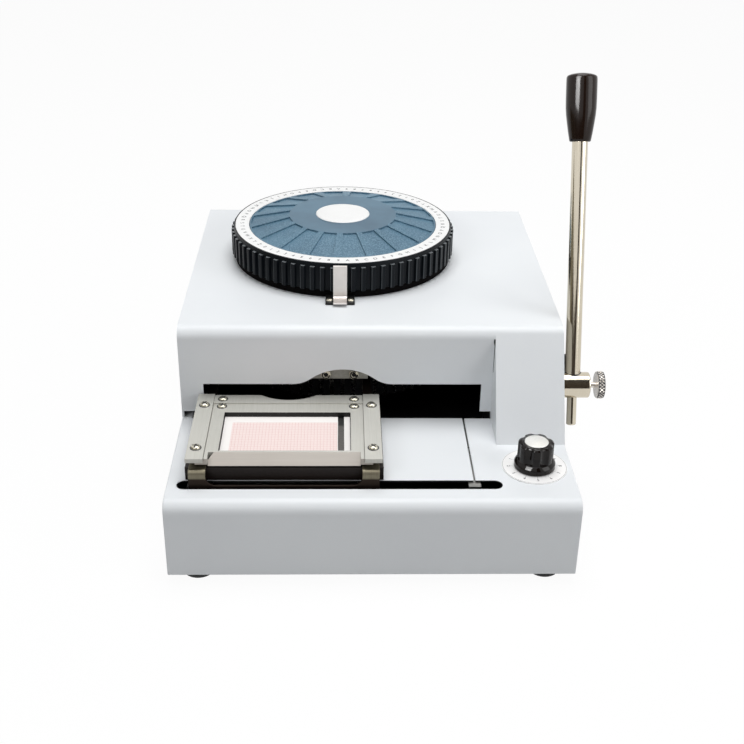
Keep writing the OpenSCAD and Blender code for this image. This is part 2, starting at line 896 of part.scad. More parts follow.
module lever_grip() {
    neck = grip_d * 0.7;
    taper = grip_len * 0.44;
    edge = 3;
    color("black")
    at_lever() translate([rod_x, 0, rod_len]) rotate_extrude() difference() {
        union() {
            polygon([
                [0, 0], [neck / 2 - 0.6, 0], [neck / 2, 0.6], [grip_d / 2, taper],
                [grip_d / 2, grip_len - edge], [grip_d / 2 - edge, grip_len], [0, grip_len]
            ]);
            translate([grip_d / 2 - edge, grip_len - edge]) circle(edge);
        }
        translate([-1, -1]) square([1 + spigot_d / 2 + run_gap, 1 + spigot_len + 0.4]);
        translate([-grip_d, -1]) square([grip_d, grip_len + 2]);
    }
}

// Eccentric disc on the lever shaft, seen from the right at rest
module eccentric(x, w, side) {
    middle = [
        lever_y + side * throw * cos(half_swing),
        lever_z - side * throw * sin(half_swing)
    ];
    difference() {
        round_x(x, x + w, middle, eccentric_d);
        round_x(x - 1, x + w + 1, [lever_y, lever_z], shaft_d + 2 * run_gap);
    }
}

module upper_eccentric() {
    color("silver") eccentric(upper_yoke_x, yoke_w, -1);
}

module lower_eccentric() {
    color("silver") eccentric(lower_yoke_x, yoke_w, 1);
}

module thumb_screw() {
    knurl_r = 10;
    knurl_depth = 0.8;
    knurl_count = 36;
    tip = rod_x + shank_d / 2 + 0.3;
    color("silver")
    at_lever() {
        round_x(tip, head_x, [0, 0], screw_d);
        translate([head_x, 0, 0]) rotate([0, 90, 0])
            linear_extrude(head_t)
            polygon(toothed(knurl_r - knurl_depth, knurl_r, knurl_depth, knurl_depth / 4, knurl_count));
    }
}

// Fork of a press yoke round its eccentric, with the web behind it
module yoke_fork(x, side, z0, z1) {
    middle = lever_z - side * throw * sin(half_swing);
    inner = eccentric_d / 2 + jaw_gap;
    along_x(x, x + yoke_w) {
        for (z = [middle + inner, middle - inner - jaw_t]) {
            translate([lever_y - 9, z]) square([beam_y - lever_y + 9, jaw_t]);
        }
        translate([yoke_web, z0]) square([beam_y - yoke_web, z1 - z0]);
    }
}

// Block that slides on both press columns and carries a beam
module yoke_block(z0, z1) {
    difference() {
        bar(upper_yoke_x, lower_yoke_x + yoke_w, beam_y, beam_y + beam_d, z0, z1);
        for (y = column_ys) {
            translate([column_x, y, z0 - 1]) cylinder(h = z1 - z0 + 2, d = column_d + 2 * run_gap);
        }
    }
}

fork_drop = eccentric_d / 2 + jaw_gap + jaw_t + throw;
module upper_yoke() {
    color("dimgray") {
        yoke_block(upper_beam_z - 14, upper_beam_z + beam_h);
        yoke_fork(upper_yoke_x, -1, lever_z - fork_drop, upper_beam_z + beam_h - 4);
    }
}

module lower_yoke() {
    color("dimgray") {
        yoke_block(lower_beam_z, lower_beam_z + beam_h + 14);
        yoke_fork(lower_yoke_x, 1, lower_beam_z, lever_z + fork_drop);
    }
}

module upper_beam() {
    color("dimgray")
    bar(beam_x, upper_yoke_x, beam_y, beam_y + beam_d, upper_beam_z, upper_beam_z + beam_h);
}

module lower_beam() {
    color("dimgray")
    bar(beam_x, upper_yoke_x, beam_y, beam_y + beam_d, lower_beam_z, lower_beam_z + beam_h);
}

// The rams stop short of the punch and die at the end of the approach stroke
ram_d = 7;
ram_gap = 0.5;
module upper_ram() {
    foot = upper_wheel_z + type_h + punch_proud + stroke + ram_gap;
    color("silver")
    translate([dial_x, press_y, foot]) cylinder(h = upper_beam_z - foot, d = ram_d);
}

module lower_ram() {
    foot = lower_beam_z + beam_h;
    top = lower_wheel_z - punch_proud - stroke - ram_gap;
    color("silver")
    translate([dial_x, press_y, foot]) cylinder(h = top - foot, d = ram_d);
}

// Press head: a block hung from the upper beam, with a stepped foot that carries the cap plate in front
head_w = 40;
head_y = hood_y + wall + 6;
head_foot_z = frame_top + frame_step + frame_screw_h + 0.8 + stroke;
head_foot_h = 12;
head_step = 17;
head_cap_t = 2.4;
head_cap_z = head_foot_z + 1.8;
head_cap_h = 9.6;
ram_room = 10.7;
head_x0 = pointer_x - head_w / 2;
module press_head() {
    block_front = head_y + head_step;
    block_back = press_y - ram_d / 2 - ram_room;
    color("black")
    along_x(head_x0, head_x0 + head_w) {
        translate([head_y + head_cap_t, head_foot_z]) square([head_step - head_cap_t, head_foot_h]);
        translate([block_front, head_foot_z])
            square([block_back - block_front, upper_beam_z - head_foot_z]);
    }
}

module press_head_cap() {
    color("gray")
    bar(head_x0, head_x0 + head_w, head_y, head_y + head_cap_t, head_cap_z, head_cap_z + head_cap_h);
}

module press_head_screws() {
    screw_h = 3.4;
    screw_head_d = 7;
    color("silver")
    for (x = [head_x0 + head_w / 4, head_x0 + head_w * 3 / 4]) {
        translate([x, head_y, head_cap_z + head_cap_h / 2]) rotate([90, 0, 0]) difference() {
            cylinder(h = screw_h, d = screw_head_d);
            translate([0, 0, screw_h / 2]) cylinder(h = screw_h, d = screw_head_d / 2, $fn = 6);
        }
    }
}

// Cast bed: a ring over the deck, with two legs behind it down to the rear rod
bed_mid = rail_x + carriage_w / 2;
bed_proud = 1;
module carriage_bed() {
    rim = 19;
    front_rim = 10;
    rear_rim = 12;
    side = rail_x - bed_proud;
    front = apron_y + 7;
    leg_x = rail_x + arm_inset;
    rear = guide_rear[0] + block_d / 2;
    color("black")
    difference() {
        union() {
            bar(side, 2 * bed_mid - side, front, rail_end - slide_gap, bed_z, bed_top);
            mirrored_at(bed_mid) {
                bar(leg_x, leg_x + arm_w, rail_end - 1, rear, bed_z, bed_top);
                bar(leg_x, leg_x + block_w, guide_rear[0] - block_d / 2, rear,
                    guide_rear[1] - block_h / 2, bed_z);
            }
        }
        bar(side + rim, 2 * bed_mid - side - rim, front + front_rim, rail_end - rear_rim,
            bed_z - 1, bed_top + 1);
        round_x(side, 2 * bed_mid - side, guide_rear, guide_d + 2 * run_gap);
    }
}

// Folded sheet: two legs from the rails' front ends down through the slot, joined below
module carriage_apron() {
    bottom = guide_front[1] - block_h / 2;
    bend = 3;
    corner = 6.5;
    leg_x = rail_x + leg_inset;
    cut_x = rail_x + leg_w;
    cut_w = carriage_w - 2 * leg_w;
    cut_z = deck_z + bed_gap;
    color("silver") {
        difference() {
            bar(leg_x, 2 * bed_mid - leg_x, apron_y, apron_y + apron_t, bottom, bed_top + apron_t - bend);
            along_y(apron_y - 1, apron_y + apron_t + 1) {
                translate([cut_x + corner, cut_z]) square([cut_w - 2 * corner, bed_top - cut_z + 1]);
                translate([cut_x, cut_z + corner]) square([cut_w, bed_top - cut_z]);
                for (x = [cut_x + corner, cut_x + cut_w - corner]) {
                    translate([x, cut_z + corner]) circle(corner);
                }
            }
        }
        mirrored_at(bed_mid) along_x(leg_x, cut_x) {
            translate([apron_y + bend, bed_top]) square([apron_flange - bend, apron_t]);
            translate([apron_y + bend, bed_top + apron_t - bend]) intersection() {
                difference() {
                    circle(bend);
                    circle(bend - apron_t);
                }
                translate([-bend, 0]) square(bend);
            }
        }
        mirrored_at(bed_mid) difference() {
            bar(leg_x, leg_x + block_w, apron_y + apron_t, apron_y + apron_t + block_d,
                bottom, guide_front[1] + block_h / 2);
            round_x(leg_x - 1, leg_x + block_w + 1, guide_front, guide_d + 2 * run_gap);
        }
    }
}

// Rails on spacers hold the card frame's tongues down on the arms
module side_rails() {
    color("silver")
    mirrored_at(bed_mid) difference() {
        union() {
            bar(rail_x, rail_x + rail_w, rail_y, rail_end, rail_z, rail_top);
            bar(rail_x + 0.5, rail_x + arm_inset - slide_gap, arm_y, rail_end, bed_top, rail_z);
        }
        for (y = rail_screw_ys) {
            translate([rail_x + rail_w / 2, y, rail_z - 1])
                cylinder(h = rail_t + 2, d = rail_shank_d + 4 * run_gap);
        }
    }
}

rail_screw_front = 14;
rail_screw_rear = 16;
rail_screw_ys = [rail_y + rail_screw_front, rail_end - rail_screw_rear];
rail_shank_d = 3;
module rail_screws() {
    head_d = 6.4;
    head_h = 2;
    color("silver")
    mirrored_at(bed_mid) for (y = rail_screw_ys) {
        translate([rail_x + rail_w / 2, y, rail_top]) pan_screw(head_d, head_h, rail_shank_d, rail_t);
    }
}

module guide_arms() {
    color("silver")
    mirrored_at(bed_mid)
        bar(rail_x + arm_inset, rail_x + arm_inset + arm_w, arm_y, arm_end, bed_top, arm_top);
}

// Rack that steps the carriage from one letter to the next
module feed_rack() {
    pitch = 3;
    tooth = 2;
    x0 = rail_x + leg_inset;
    y0 = apron_y + apron_t + block_d;
    count = floor((carriage_w - 2 * leg_inset) / pitch);
    rack_t = 4;
    rack_h = 9;
    low = guide_front[1] - rack_h / 2;
    color("silver")
    along_y(y0, y0 + rack_t) polygon([
        [x0, low + rack_h],
        for (i = [0 : count - 1]) each [[x0 + i * pitch, low + tooth], [x0 + (i + 0.5) * pitch, low]],
        [x0 + count * pitch, low + tooth],
        [x0 + count * pitch, low + rack_h]
    ]);
}

// Screw places of the frame's rear corners, from its side and its rear edge
frame_screw_inset = 6;
frame_screw_first = 5.6;
frame_screw_apart = 9;
frame_screw_ys = [frame_rear - frame_screw_first - frame_screw_apart, frame_rear - frame_screw_first];
frame_shank_d = 2.6;
frame_step_y = window_y + window_d + back_bar_d / 2;
module frame_screws() {
    head_d = 6;
    color("silver")
    mirrored_at(bed_mid) for (y = frame_screw_ys) {
        translate([frame_x + frame_screw_inset, y, frame_top + (y > frame_step_y ? frame_step : 0)])
            pan_screw(head_d, frame_screw_h, frame_shank_d, frame_t);
    }
}

// Sliding frame round the card window, with tongues, a stepped back bar and a sloping front lip
// between the front ends of its side bars
module card_frame() {
    notch_r = 31;
    notch_d = 7;
    lip_t = 1.5;
    lip_cut = 3.8;
    lip_x = frame_x + 2.3;
    side_front = rail_y + 2.2;
    tongue = rail_w - arm_inset - 1;
    color("silver")
    difference() {
        union() {
            bar(frame_x, frame_x + frame_w, frame_front, frame_rear, frame_z, frame_top);
            bar(frame_x, frame_x + frame_w, frame_step_y, frame_rear, frame_top, frame_top + frame_step);
            mirrored_at(bed_mid) {
                bar(frame_x - tongue, frame_x, side_front, frame_rear, frame_z, frame_z + tongue_t);
                bar(frame_x, lip_x, side_front, frame_front, frame_z, frame_top);
            }
            along_x(lip_x, 2 * bed_mid - lip_x) polygon([
                [frame_front, frame_top], [frame_front - lip_h, frame_top - lip_h],
                [frame_front - lip_h + lip_t, frame_top - lip_h], [frame_front, frame_top - lip_t]
            ]);
        }
        bar(window_x, window_x + window_w, window_y, window_y + window_d, frame_z - 1, frame_top + 1);
        translate([bed_mid, frame_rear - notch_d + notch_r, frame_z - 1])
            cylinder(h = frame_t + 3, r = notch_r);
        mirrored_at(bed_mid) for (y = frame_screw_ys) {
            translate([frame_x + frame_screw_inset, y, frame_z - 1])
                cylinder(h = frame_t + 3, d = frame_shank_d + 4 * run_gap);
        }
        // The lip's left corner is cut off at a slant
        along_z(frame_top - lip_h, frame_top + 1)
            polygon([[lip_x, frame_front - lip_cut], [lip_x + lip_cut, frame_front], [lip_x, frame_front]]);
    }
}

tray_t = 1;
module card_tray() {
    side = 4;
    front = 3;
    back = 6;
    color("black")
    bar(window_x - side, window_x + window_w + side, window_y - front, window_y + window_d + back,
        frame_z - tray_t, frame_z);
}

// The layout card has a slot along its right edge
card_t = 1;
module layout_card() {
    slot_in = 4.5;
    slot_wide = 4.2;
    slot_front = 6;
    front = window_y + slide_gap;
    rear = window_y + window_d - slide_gap;
    slot_x1 = window_x + window_w - slot_in;
    color("mistyrose")
    difference() {
        bar(window_x + slide_gap, window_x + window_w - slide_gap, front, rear, frame_z, frame_z + card_t);
        along_z(frame_z - 1, frame_z + card_t + 1) {
            translate([slot_x1 - slot_wide, front + slot_front]) square([slot_wide, rear - front]);
            translate([slot_x1 - slot_wide / 2, front + slot_front]) circle(d = slot_wide);
        }
    }
}

// Knob with broad grip lobes over a skirt, and a stem with its spacing cam below the deck
knob_cap_t = 1;
knob_cap_d = 16;
module knob_lobes(d) {
    hollow_r = 5.5;
    hollow_depth = 1;
    start = 8;
    difference() {
        circle(d = d);
        for (i = [0 : lobe_count - 1]) {
            rotate(start + 360 * (i + 0.5) / lobe_count)
                translate([d / 2 + hollow_r - hollow_depth, 0]) circle(hollow_r);
        }
    }
}

module spacing_knob() {
    skirt_edge = 2;
    skirt_h = 4.5;
    body_d = knob_d - 2.4;
    top_d = knob_d - 3.4;
    shoulder = 1;
    body_h = knob_h - knob_cap_t;
    stem = 18;
    cam_d = 16;
    cam_h = 5;
    cam_shift = 2.5;
    color("black")
    translate([knob_x, knob_y, deck_z + scale_t + slide_gap]) {
        rotate_extrude() polygon([
            [0, 0], [knob_d / 2, 0], [knob_d / 2, skirt_edge], [body_d / 2 - 1, skirt_h], [0, skirt_h]
        ]);
        intersection() {
            linear_extrude(body_h) knob_lobes(body_d);
            rotate_extrude() polygon([
                [0, skirt_edge], [body_d / 2 + 1, skirt_edge], [top_d / 2, body_h - shoulder],
                [top_d / 2 - shoulder, body_h], [0, body_h]
            ]);
        }
        translate([0, 0, -stem]) cylinder(h = stem + 1, d = knob_stem_d);
        translate([cam_shift, 0, -stem]) cylinder(h = cam_h, d = cam_d);
    }
}

module knob_cap() {
    edge = knob_cap_t / 2;
    color("silver")
    translate([knob_x, knob_y, deck_z + scale_t + slide_gap + knob_h - knob_cap_t]) rotate_extrude()
        polygon([
            [0, 0], [knob_cap_d / 2, 0], [knob_cap_d / 2, knob_cap_t - edge],
            [knob_cap_d / 2 - edge, knob_cap_t], [0, knob_cap_t]
        ]);
}

placed() base_shell();
placed() hood();
placed() deck_plate();
placed() deck_strips();
placed() bottom_plate();
placed() feet();
placed() hood_screws();
placed() top_plate();
placed() frame_posts();
placed() inner_cheek();
placed() outer_cheek();
placed() cheek_bridge();
placed() bearing_bushes();
placed() press_columns();
placed() wheel_pedestal();
placed() pointer();
placed() pointer_base();
placed() pointer_screws();
placed() front_guide_rod();
placed() rear_guide_rod();
placed() rod_brackets();
placed() scale_plate();
placed() lever_stop();
placed() dial_wheel();
placed() dial_plate();
placed() index_ring();
placed() dial_cap();
placed() dial_shaft();
placed() upper_type_wheel();
placed() lower_type_wheel();
placed() punches();
placed() dies();
placed() lever_shaft();
placed() lever_hub();
placed() lever_rod();
placed() lever_grip();
placed() upper_eccentric();
placed() lower_eccentric();
placed() thumb_screw();
placed() upper_yoke();
placed() upper_beam();
placed() upper_ram();
placed() press_head();
placed() press_head_cap();
placed() press_head_screws();
placed() lower_yoke();
placed() lower_beam();
placed() lower_ram();
placed() carriage_bed();
placed() carriage_apron();
placed() side_rails();
placed() rail_screws();
placed() guide_arms();
placed() feed_rack();
placed() card_frame();
placed() frame_screws();
placed() card_tray();
placed() layout_card();
placed() spacing_knob();
placed() knob_cap();
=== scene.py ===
import math

import bmesh
import bpy
from mathutils import Matrix, Vector
from mathutils.bvhtree import BVHTree


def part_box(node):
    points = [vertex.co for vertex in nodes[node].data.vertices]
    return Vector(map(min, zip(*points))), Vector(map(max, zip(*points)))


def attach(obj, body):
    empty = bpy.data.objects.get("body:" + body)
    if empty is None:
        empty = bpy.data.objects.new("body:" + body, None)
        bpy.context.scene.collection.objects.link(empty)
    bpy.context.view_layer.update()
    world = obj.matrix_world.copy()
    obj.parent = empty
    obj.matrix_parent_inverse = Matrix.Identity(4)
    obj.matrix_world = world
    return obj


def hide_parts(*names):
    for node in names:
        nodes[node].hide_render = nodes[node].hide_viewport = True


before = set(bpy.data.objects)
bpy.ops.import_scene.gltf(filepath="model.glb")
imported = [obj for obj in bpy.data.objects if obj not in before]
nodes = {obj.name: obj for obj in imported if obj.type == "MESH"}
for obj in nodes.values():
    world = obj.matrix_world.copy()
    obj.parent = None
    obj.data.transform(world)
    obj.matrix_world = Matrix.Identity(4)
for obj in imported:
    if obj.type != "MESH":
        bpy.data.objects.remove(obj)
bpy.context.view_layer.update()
mm = 0.001
print("frame loaded:", len(nodes), "nodes")


def srgb(r, g, b):
    shares = (c / 255 for c in (r, g, b))
    return tuple(((c + 0.055) / 1.055) ** 2.4 if c > 0.04 else c / 12.92 for c in shares) + (1,)


# shared shader groups

floatSocket = "NodeSocketFloat"
bumpDepth = 0.0002  # metres, what a Height of one stands for
markRange = {"speckle": (0.35, 0.7), "smudge": (0.36, 0.66), "streak": (0.3, 0.7)}  # noise, bare to full


def shaderGroup(name, inputs, outputs):
    tree = bpy.data.node_groups.new(name, "ShaderNodeTree")
    for label, kind, value in inputs:
        tree.interface.new_socket(label, in_out="INPUT", socket_type=kind).default_value = value
    for label, kind in outputs:
        tree.interface.new_socket(label, in_out="OUTPUT", socket_type=kind)
    return tree, tree.nodes.new("NodeGroupInput"), tree.nodes.new("NodeGroupOutput")


def noiseNode(tree, vector, scale, detail=2.0, roughness=0.5):
    noise = tree.nodes.new("ShaderNodeTexNoise")
    noise.inputs["Detail"].default_value = detail
    noise.inputs["Roughness"].default_value = roughness
    tree.links.new(vector, noise.inputs["Vector"])
    if isinstance(scale, (int, float)):
        noise.inputs["Scale"].default_value = scale
    else:
        tree.links.new(scale, noise.inputs["Scale"])
    return noise.outputs["Fac"]


def rangeNode(tree, value, low, high, outLow=0.0, outHigh=1.0):
    mapped = tree.nodes.new("ShaderNodeMapRange")
    for socket, number in zip(("From Min", "From Max", "To Min", "To Max"), (low, high, outLow, outHigh)):
        if isinstance(number, (int, float)):
            mapped.inputs[socket].default_value = number
        else:
            tree.links.new(number, mapped.inputs[socket])
    tree.links.new(value, mapped.inputs["Value"])
    return mapped.outputs["Result"]


def mathNode(tree, operation, a, b):
    node = tree.nodes.new("ShaderNodeMath")
    node.operation = operation
    for socket, value in zip(node.inputs, (a, b)):
        if isinstance(value, (int, float)):
            socket.default_value = value
        else:
            tree.links.new(value, socket)
    return node.outputs[0]


def mixColour(tree, factor, a, b):
    mix = tree.nodes.new("ShaderNodeMix")
    mix.data_type = "RGBA"
    tree.links.new(factor, mix.inputs[0])
    for socket, value in ((mix.inputs[6], a), (mix.inputs[7], b)):
        if isinstance(value, tuple):
            socket.default_value = value
        else:
            tree.links.new(value, socket)
    return mix.outputs[2]


def makeSurfaceGrain():
    # fine skin of a paint or a moulding: Height for bump, Speckle for colour
    tree, ins, outs = shaderGroup("surfaceGrain", [("Scale", floatSocket, 900.0)],
                                  [("Height", floatSocket), ("Speckle", floatSocket)])
    coords = tree.nodes.new("ShaderNodeTexCoord").outputs["Object"]
    fine = noiseNode(tree, coords, ins.outputs["Scale"], 1.0)
    pits = tree.nodes.new("ShaderNodeTexVoronoi")
    tree.links.new(coords, pits.inputs["Vector"])
    tree.links.new(ins.outputs["Scale"], pits.inputs["Scale"])
    tree.links.new(mathNode(tree, "MULTIPLY", fine, pits.outputs["Distance"]), outs.inputs["Height"])
    tree.links.new(rangeNode(tree, fine, *markRange["speckle"]), outs.inputs["Speckle"])
    return tree


def makeSmudges():
    # broad uneven patches left by hands and cleaning
    tree, ins, outs = shaderGroup("smudges", [("Scale", floatSocket, 14.0)], [("Mask", floatSocket)])
    coords = tree.nodes.new("ShaderNodeTexCoord").outputs["Object"]
    broad = noiseNode(tree, coords, ins.outputs["Scale"], 4.0, 0.6)
    tree.links.new(rangeNode(tree, broad, *markRange["smudge"]), outs.inputs["Mask"])
    return tree


def makeBrushMarks():
    # streaks along the direction in which Stretch is small
    tree, ins, outs = shaderGroup("brushMarks", [("Stretch", "NodeSocketVector", (40, 1200, 40))],
                                  [("Mask", floatSocket), ("Height", floatSocket)])
    coords = tree.nodes.new("ShaderNodeTexCoord").outputs["Object"]
    scaled = tree.nodes.new("ShaderNodeVectorMath")
    scaled.operation = "MULTIPLY"
    tree.links.new(coords, scaled.inputs[0])
    tree.links.new(ins.outputs["Stretch"], scaled.inputs[1])
    streaks = noiseNode(tree, scaled.outputs["Vector"], 1.0, 5.0, 0.65)
    tree.links.new(rangeNode(tree, streaks, *markRange["streak"]), outs.inputs["Mask"])
    tree.links.new(streaks, outs.inputs["Height"])
    return tree


groups = {"grain": makeSurfaceGrain(), "smudges": makeSmudges(), "brush": makeBrushMarks()}


def placeGroup(tree, key, socket, value):
    node = tree.nodes.new("ShaderNodeGroup")
    node.node_tree = groups[key]
    node.inputs[socket].default_value = value
    return node


def newFinish(name):
    finish = bpy.data.materials.new(name)
    finish.use_nodes = True
    return finish, finish.node_tree, finish.node_tree.nodes["Principled BSDF"]


def addBump(tree, shader, height, strength):
    bump = tree.nodes.new("ShaderNodeBump")
    bump.inputs["Strength"].default_value = strength
    bump.inputs["Distance"].default_value = bumpDepth
    tree.links.new(height, bump.inputs["Height"])
    tree.links.new(bump.outputs["Normal"], shader.inputs["Normal"])


def objectAxes(tree):
    split = tree.nodes.new("ShaderNodeSeparateXYZ")
    tree.links.new(tree.nodes.new("ShaderNodeTexCoord").outputs["Object"], split.inputs["Vector"])
    return split.outputs


def makeFinish(name, look):
    # colour runs to shade, and roughness from low to high, where marks and smudges lie
    finish, tree, shader = newFinish(name)
    shader.inputs["Metallic"].default_value = look.get("metallic", 0.0)
    shader.inputs["Specular IOR Level"].default_value = look.get("specular", 0.5)
    smudge = placeGroup(tree, "smudges", "Scale", look.get("smudge", 14.0))
    if "brush" in look:
        detail = placeGroup(tree, "brush", "Stretch", look["brush"])
        mark = detail.outputs["Mask"]
    else:
        detail = placeGroup(tree, "grain", "Scale", look.get("grain", 900.0))
        mark = detail.outputs["Speckle"]
    share = look.get("markShare", 0.5)
    blend = mathNode(tree, "ADD", mathNode(tree, "MULTIPLY", mark, share),
                     mathNode(tree, "MULTIPLY", smudge.outputs["Mask"], 1 - share))
    base = mixColour(tree, blend, look["colour"], look["shade"])
    # painted shade: a paintedShadeFade darkens the colour to its far colour along one object axis
    if "paintedShadeFade" in look:
        axis, start, end, far = look["paintedShadeFade"]
        base = mixColour(tree, rangeNode(tree, objectAxes(tree)[axis], start, end), base, far)
    tree.links.new(base, shader.inputs["Base Color"])
    low, high = look["roughness"]
    tree.links.new(rangeNode(tree, blend, 0.0, 1.0, low, high), shader.inputs["Roughness"])
    addBump(tree, shader, detail.outputs["Height"], look.get("bump", 0.1))
    return finish


deckTop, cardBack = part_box("deck_plate")[1].z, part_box("layout_card")[1].y
looks = {
    "casingPaint": {"colour": srgb(233, 236, 238), "shade": srgb(229, 232, 235), "roughness": (0.42, 0.5),
                    "grain": 1400.0, "bump": 0.06, "smudge": 9.0, "markShare": 0.3},
    "seamShade": {"colour": srgb(74, 79, 79), "shade": srgb(60, 64, 65), "roughness": (0.6, 0.75),
                  "grain": 900.0},
    # painted shade: dark finish inside the casing and on the slot walls, where little light reaches
    "innerShade": {"colour": srgb(26, 26, 27), "shade": srgb(20, 20, 21), "roughness": (0.6, 0.75),
                   "grain": 900.0, "bump": 0.1},
    "frameSteel": {"colour": srgb(62, 62, 63), "shade": srgb(48, 48, 50), "roughness": (0.4, 0.55),
                   "metallic": 0.6, "grain": 500.0, "bump": 0.1},
    "blackSteel": {"colour": srgb(30, 21, 17), "shade": srgb(22, 16, 14), "roughness": (0.42, 0.55),
                   "grain": 700.0, "bump": 0.12, "specular": 0.3},
    # painted shadow: the card tray turns black towards its rear, under the frame's back bar
    "trayGrey": {"colour": srgb(88, 85, 82), "shade": srgb(76, 73, 71), "roughness": (0.5, 0.6),
                 "grain": 900.0, "paintedShadeFade": ("Y", cardBack - 0.012, cardBack - 0.009, srgb(14, 13, 13))},
    # black paint of the press block and pointer foot, also painted shade on the card window's walls and in
    # the press screws' sockets
    "blackPaintAndShade": {"colour": srgb(16, 15, 15), "shade": srgb(11, 11, 11), "roughness": (0.4, 0.52),
                   "grain": 900.0, "bump": 0.1, "specular": 0.35},
    "brushedSteel": {"colour": srgb(198, 197, 191), "shade": srgb(182, 181, 174), "roughness": (0.5, 0.62),
                     "metallic": 0.6, "brush": (1500.0, 30.0, 200.0), "bump": 0.03, "markShare": 0.5},
    "capSteel": {"colour": srgb(236, 235, 231), "shade": srgb(226, 225, 221), "roughness": (0.3, 0.4),
                 "metallic": 0.6, "grain": 900.0, "bump": 0.03},
    "plainSteel": {"colour": srgb(184, 178, 171), "shade": srgb(174, 168, 161), "roughness": (0.5, 0.6),
                   "metallic": 0.6, "brush": (24.0, 1400.0, 1400.0), "bump": 0.02, "markShare": 0.5},
    # painted shade: the apron's legs turn dark brown towards the deck slot, below the bed
    "oliveSteel": {"colour": srgb(132, 126, 108), "shade": srgb(106, 100, 84), "roughness": (0.38, 0.5),
                   "metallic": 0.9, "brush": (1200.0, 40.0, 40.0), "bump": 0.04,
                   "paintedShadeFade": ("Z", deckTop + 0.0068, deckTop + 0.0056, srgb(44, 36, 31))},
    "pointerSteel": {"colour": srgb(226, 221, 218), "shade": srgb(219, 214, 210), "roughness": (0.34, 0.38),
                     "metallic": 1.0, "grain": 300.0, "bump": 0.0},
    "knurlSteel": {"colour": srgb(226, 220, 213), "shade": srgb(204, 198, 191), "roughness": (0.2, 0.3),
                   "metallic": 0.9, "grain": 1600.0, "bump": 0.04},
    "plateSteel": {"colour": srgb(166, 165, 160), "shade": srgb(146, 145, 139), "roughness": (0.4, 0.52),
                   "metallic": 0.7, "grain": 900.0, "bump": 0.05},
    "nickel": {"colour": srgb(214, 206, 189), "shade": srgb(199, 190, 172), "roughness": (0.07, 0.15),
               "metallic": 1.0, "brush": (900.0, 900.0, 20.0), "bump": 0.015, "markShare": 0.4},
    "screwSteel": {"colour": srgb(218, 214, 198), "shade": srgb(186, 181, 164), "roughness": (0.2, 0.36),
                   "metallic": 1.0, "grain": 1800.0, "bump": 0.05},
    "groundSteel": {"colour": srgb(190, 188, 184), "shade": srgb(160, 158, 154), "roughness": (0.2, 0.35),
                    "metallic": 1.0, "brush": (60.0, 900.0, 900.0), "bump": 0.04},
    "bronze": {"colour": srgb(186, 140, 86), "shade": srgb(150, 108, 62), "roughness": (0.3, 0.45),
               "metallic": 1.0, "grain": 700.0, "bump": 0.08},
    "rubber": {"colour": srgb(20, 20, 20), "shade": srgb(28, 28, 28), "roughness": (0.62, 0.8),
               "grain": 1200.0, "bump": 0.2},
    "whitePlastic": {"colour": srgb(241, 241, 240), "shade": srgb(235, 235, 234), "roughness": (0.34, 0.44),
                     "grain": 1500.0, "bump": 0.03},
    "rimPlastic": {"colour": srgb(14, 18, 22), "shade": srgb(19, 24, 29), "roughness": (0.3, 0.4),
                   "grain": 1300.0, "bump": 0.1, "specular": 0.12},
    # painted highlight on one eased corner of each rib
    "rimPaintedHighlight": {"colour": srgb(54, 61, 66), "shade": srgb(40, 46, 50), "roughness": (0.28, 0.4),
                "grain": 1300.0, "bump": 0.08},
    # painted shade: the black ring under the dial rim
    "underRimShade": {"colour": srgb(9, 8, 8), "shade": srgb(13, 11, 11), "roughness": (0.85, 0.95),
                 "grain": 900.0, "bump": 0.1, "specular": 0.05},
    # painted highlight on the rib tops, lighter as if lit from above
    "ribTopHighlight": {"colour": srgb(112, 117, 120), "shade": srgb(90, 95, 98), "roughness": (0.3, 0.42),
                "grain": 1300.0, "bump": 0.08},
    "gripPlastic": {"colour": srgb(30, 18, 12), "shade": srgb(36, 23, 16), "roughness": (0.14, 0.16),
                    "grain": 900.0, "bump": 0.0, "specular": 0.27},
    "knobPlastic": {"colour": srgb(18, 13, 11), "shade": srgb(24, 18, 15), "roughness": (0.06, 0.11),
                    "grain": 900.0, "bump": 0.01, "specular": 0.24},
    "scaleWhite": {"colour": srgb(250, 249, 248), "shade": srgb(246, 245, 244), "roughness": (0.4, 0.5),
                   "grain": 1500.0, "bump": 0.02},
    # ink of the characters and numbers, also painted shade in screw recesses and round screw seats, round
    # the lever rod's seat and between the knurl's pyramids
    "darkInkAndShade": {"colour": srgb(34, 36, 40), "shade": srgb(58, 60, 64), "roughness": (0.5, 0.6),
                "grain": 2500.0, "bump": 0.02},
    "greyInk": {"colour": srgb(150, 151, 153), "shade": srgb(176, 177, 178), "roughness": (0.5, 0.6),
                "grain": 2500.0, "bump": 0.02},
}
finishes = {name: makeFinish(name, look) for name, look in looks.items()}


dialLook = {"flatRadius": 41.5, "flatEdge": 0.6, "colour": srgb(70, 108, 130), "shade": srgb(52, 88, 110),
            "fleck": srgb(120, 152, 170), "fleckRange": (0.16, 0.42), "fleckShare": 0.6, "stipple": 1100.0,
            "smudge": 22.0, "bump": 0.5, "roughness": (0.36, 0.5)}


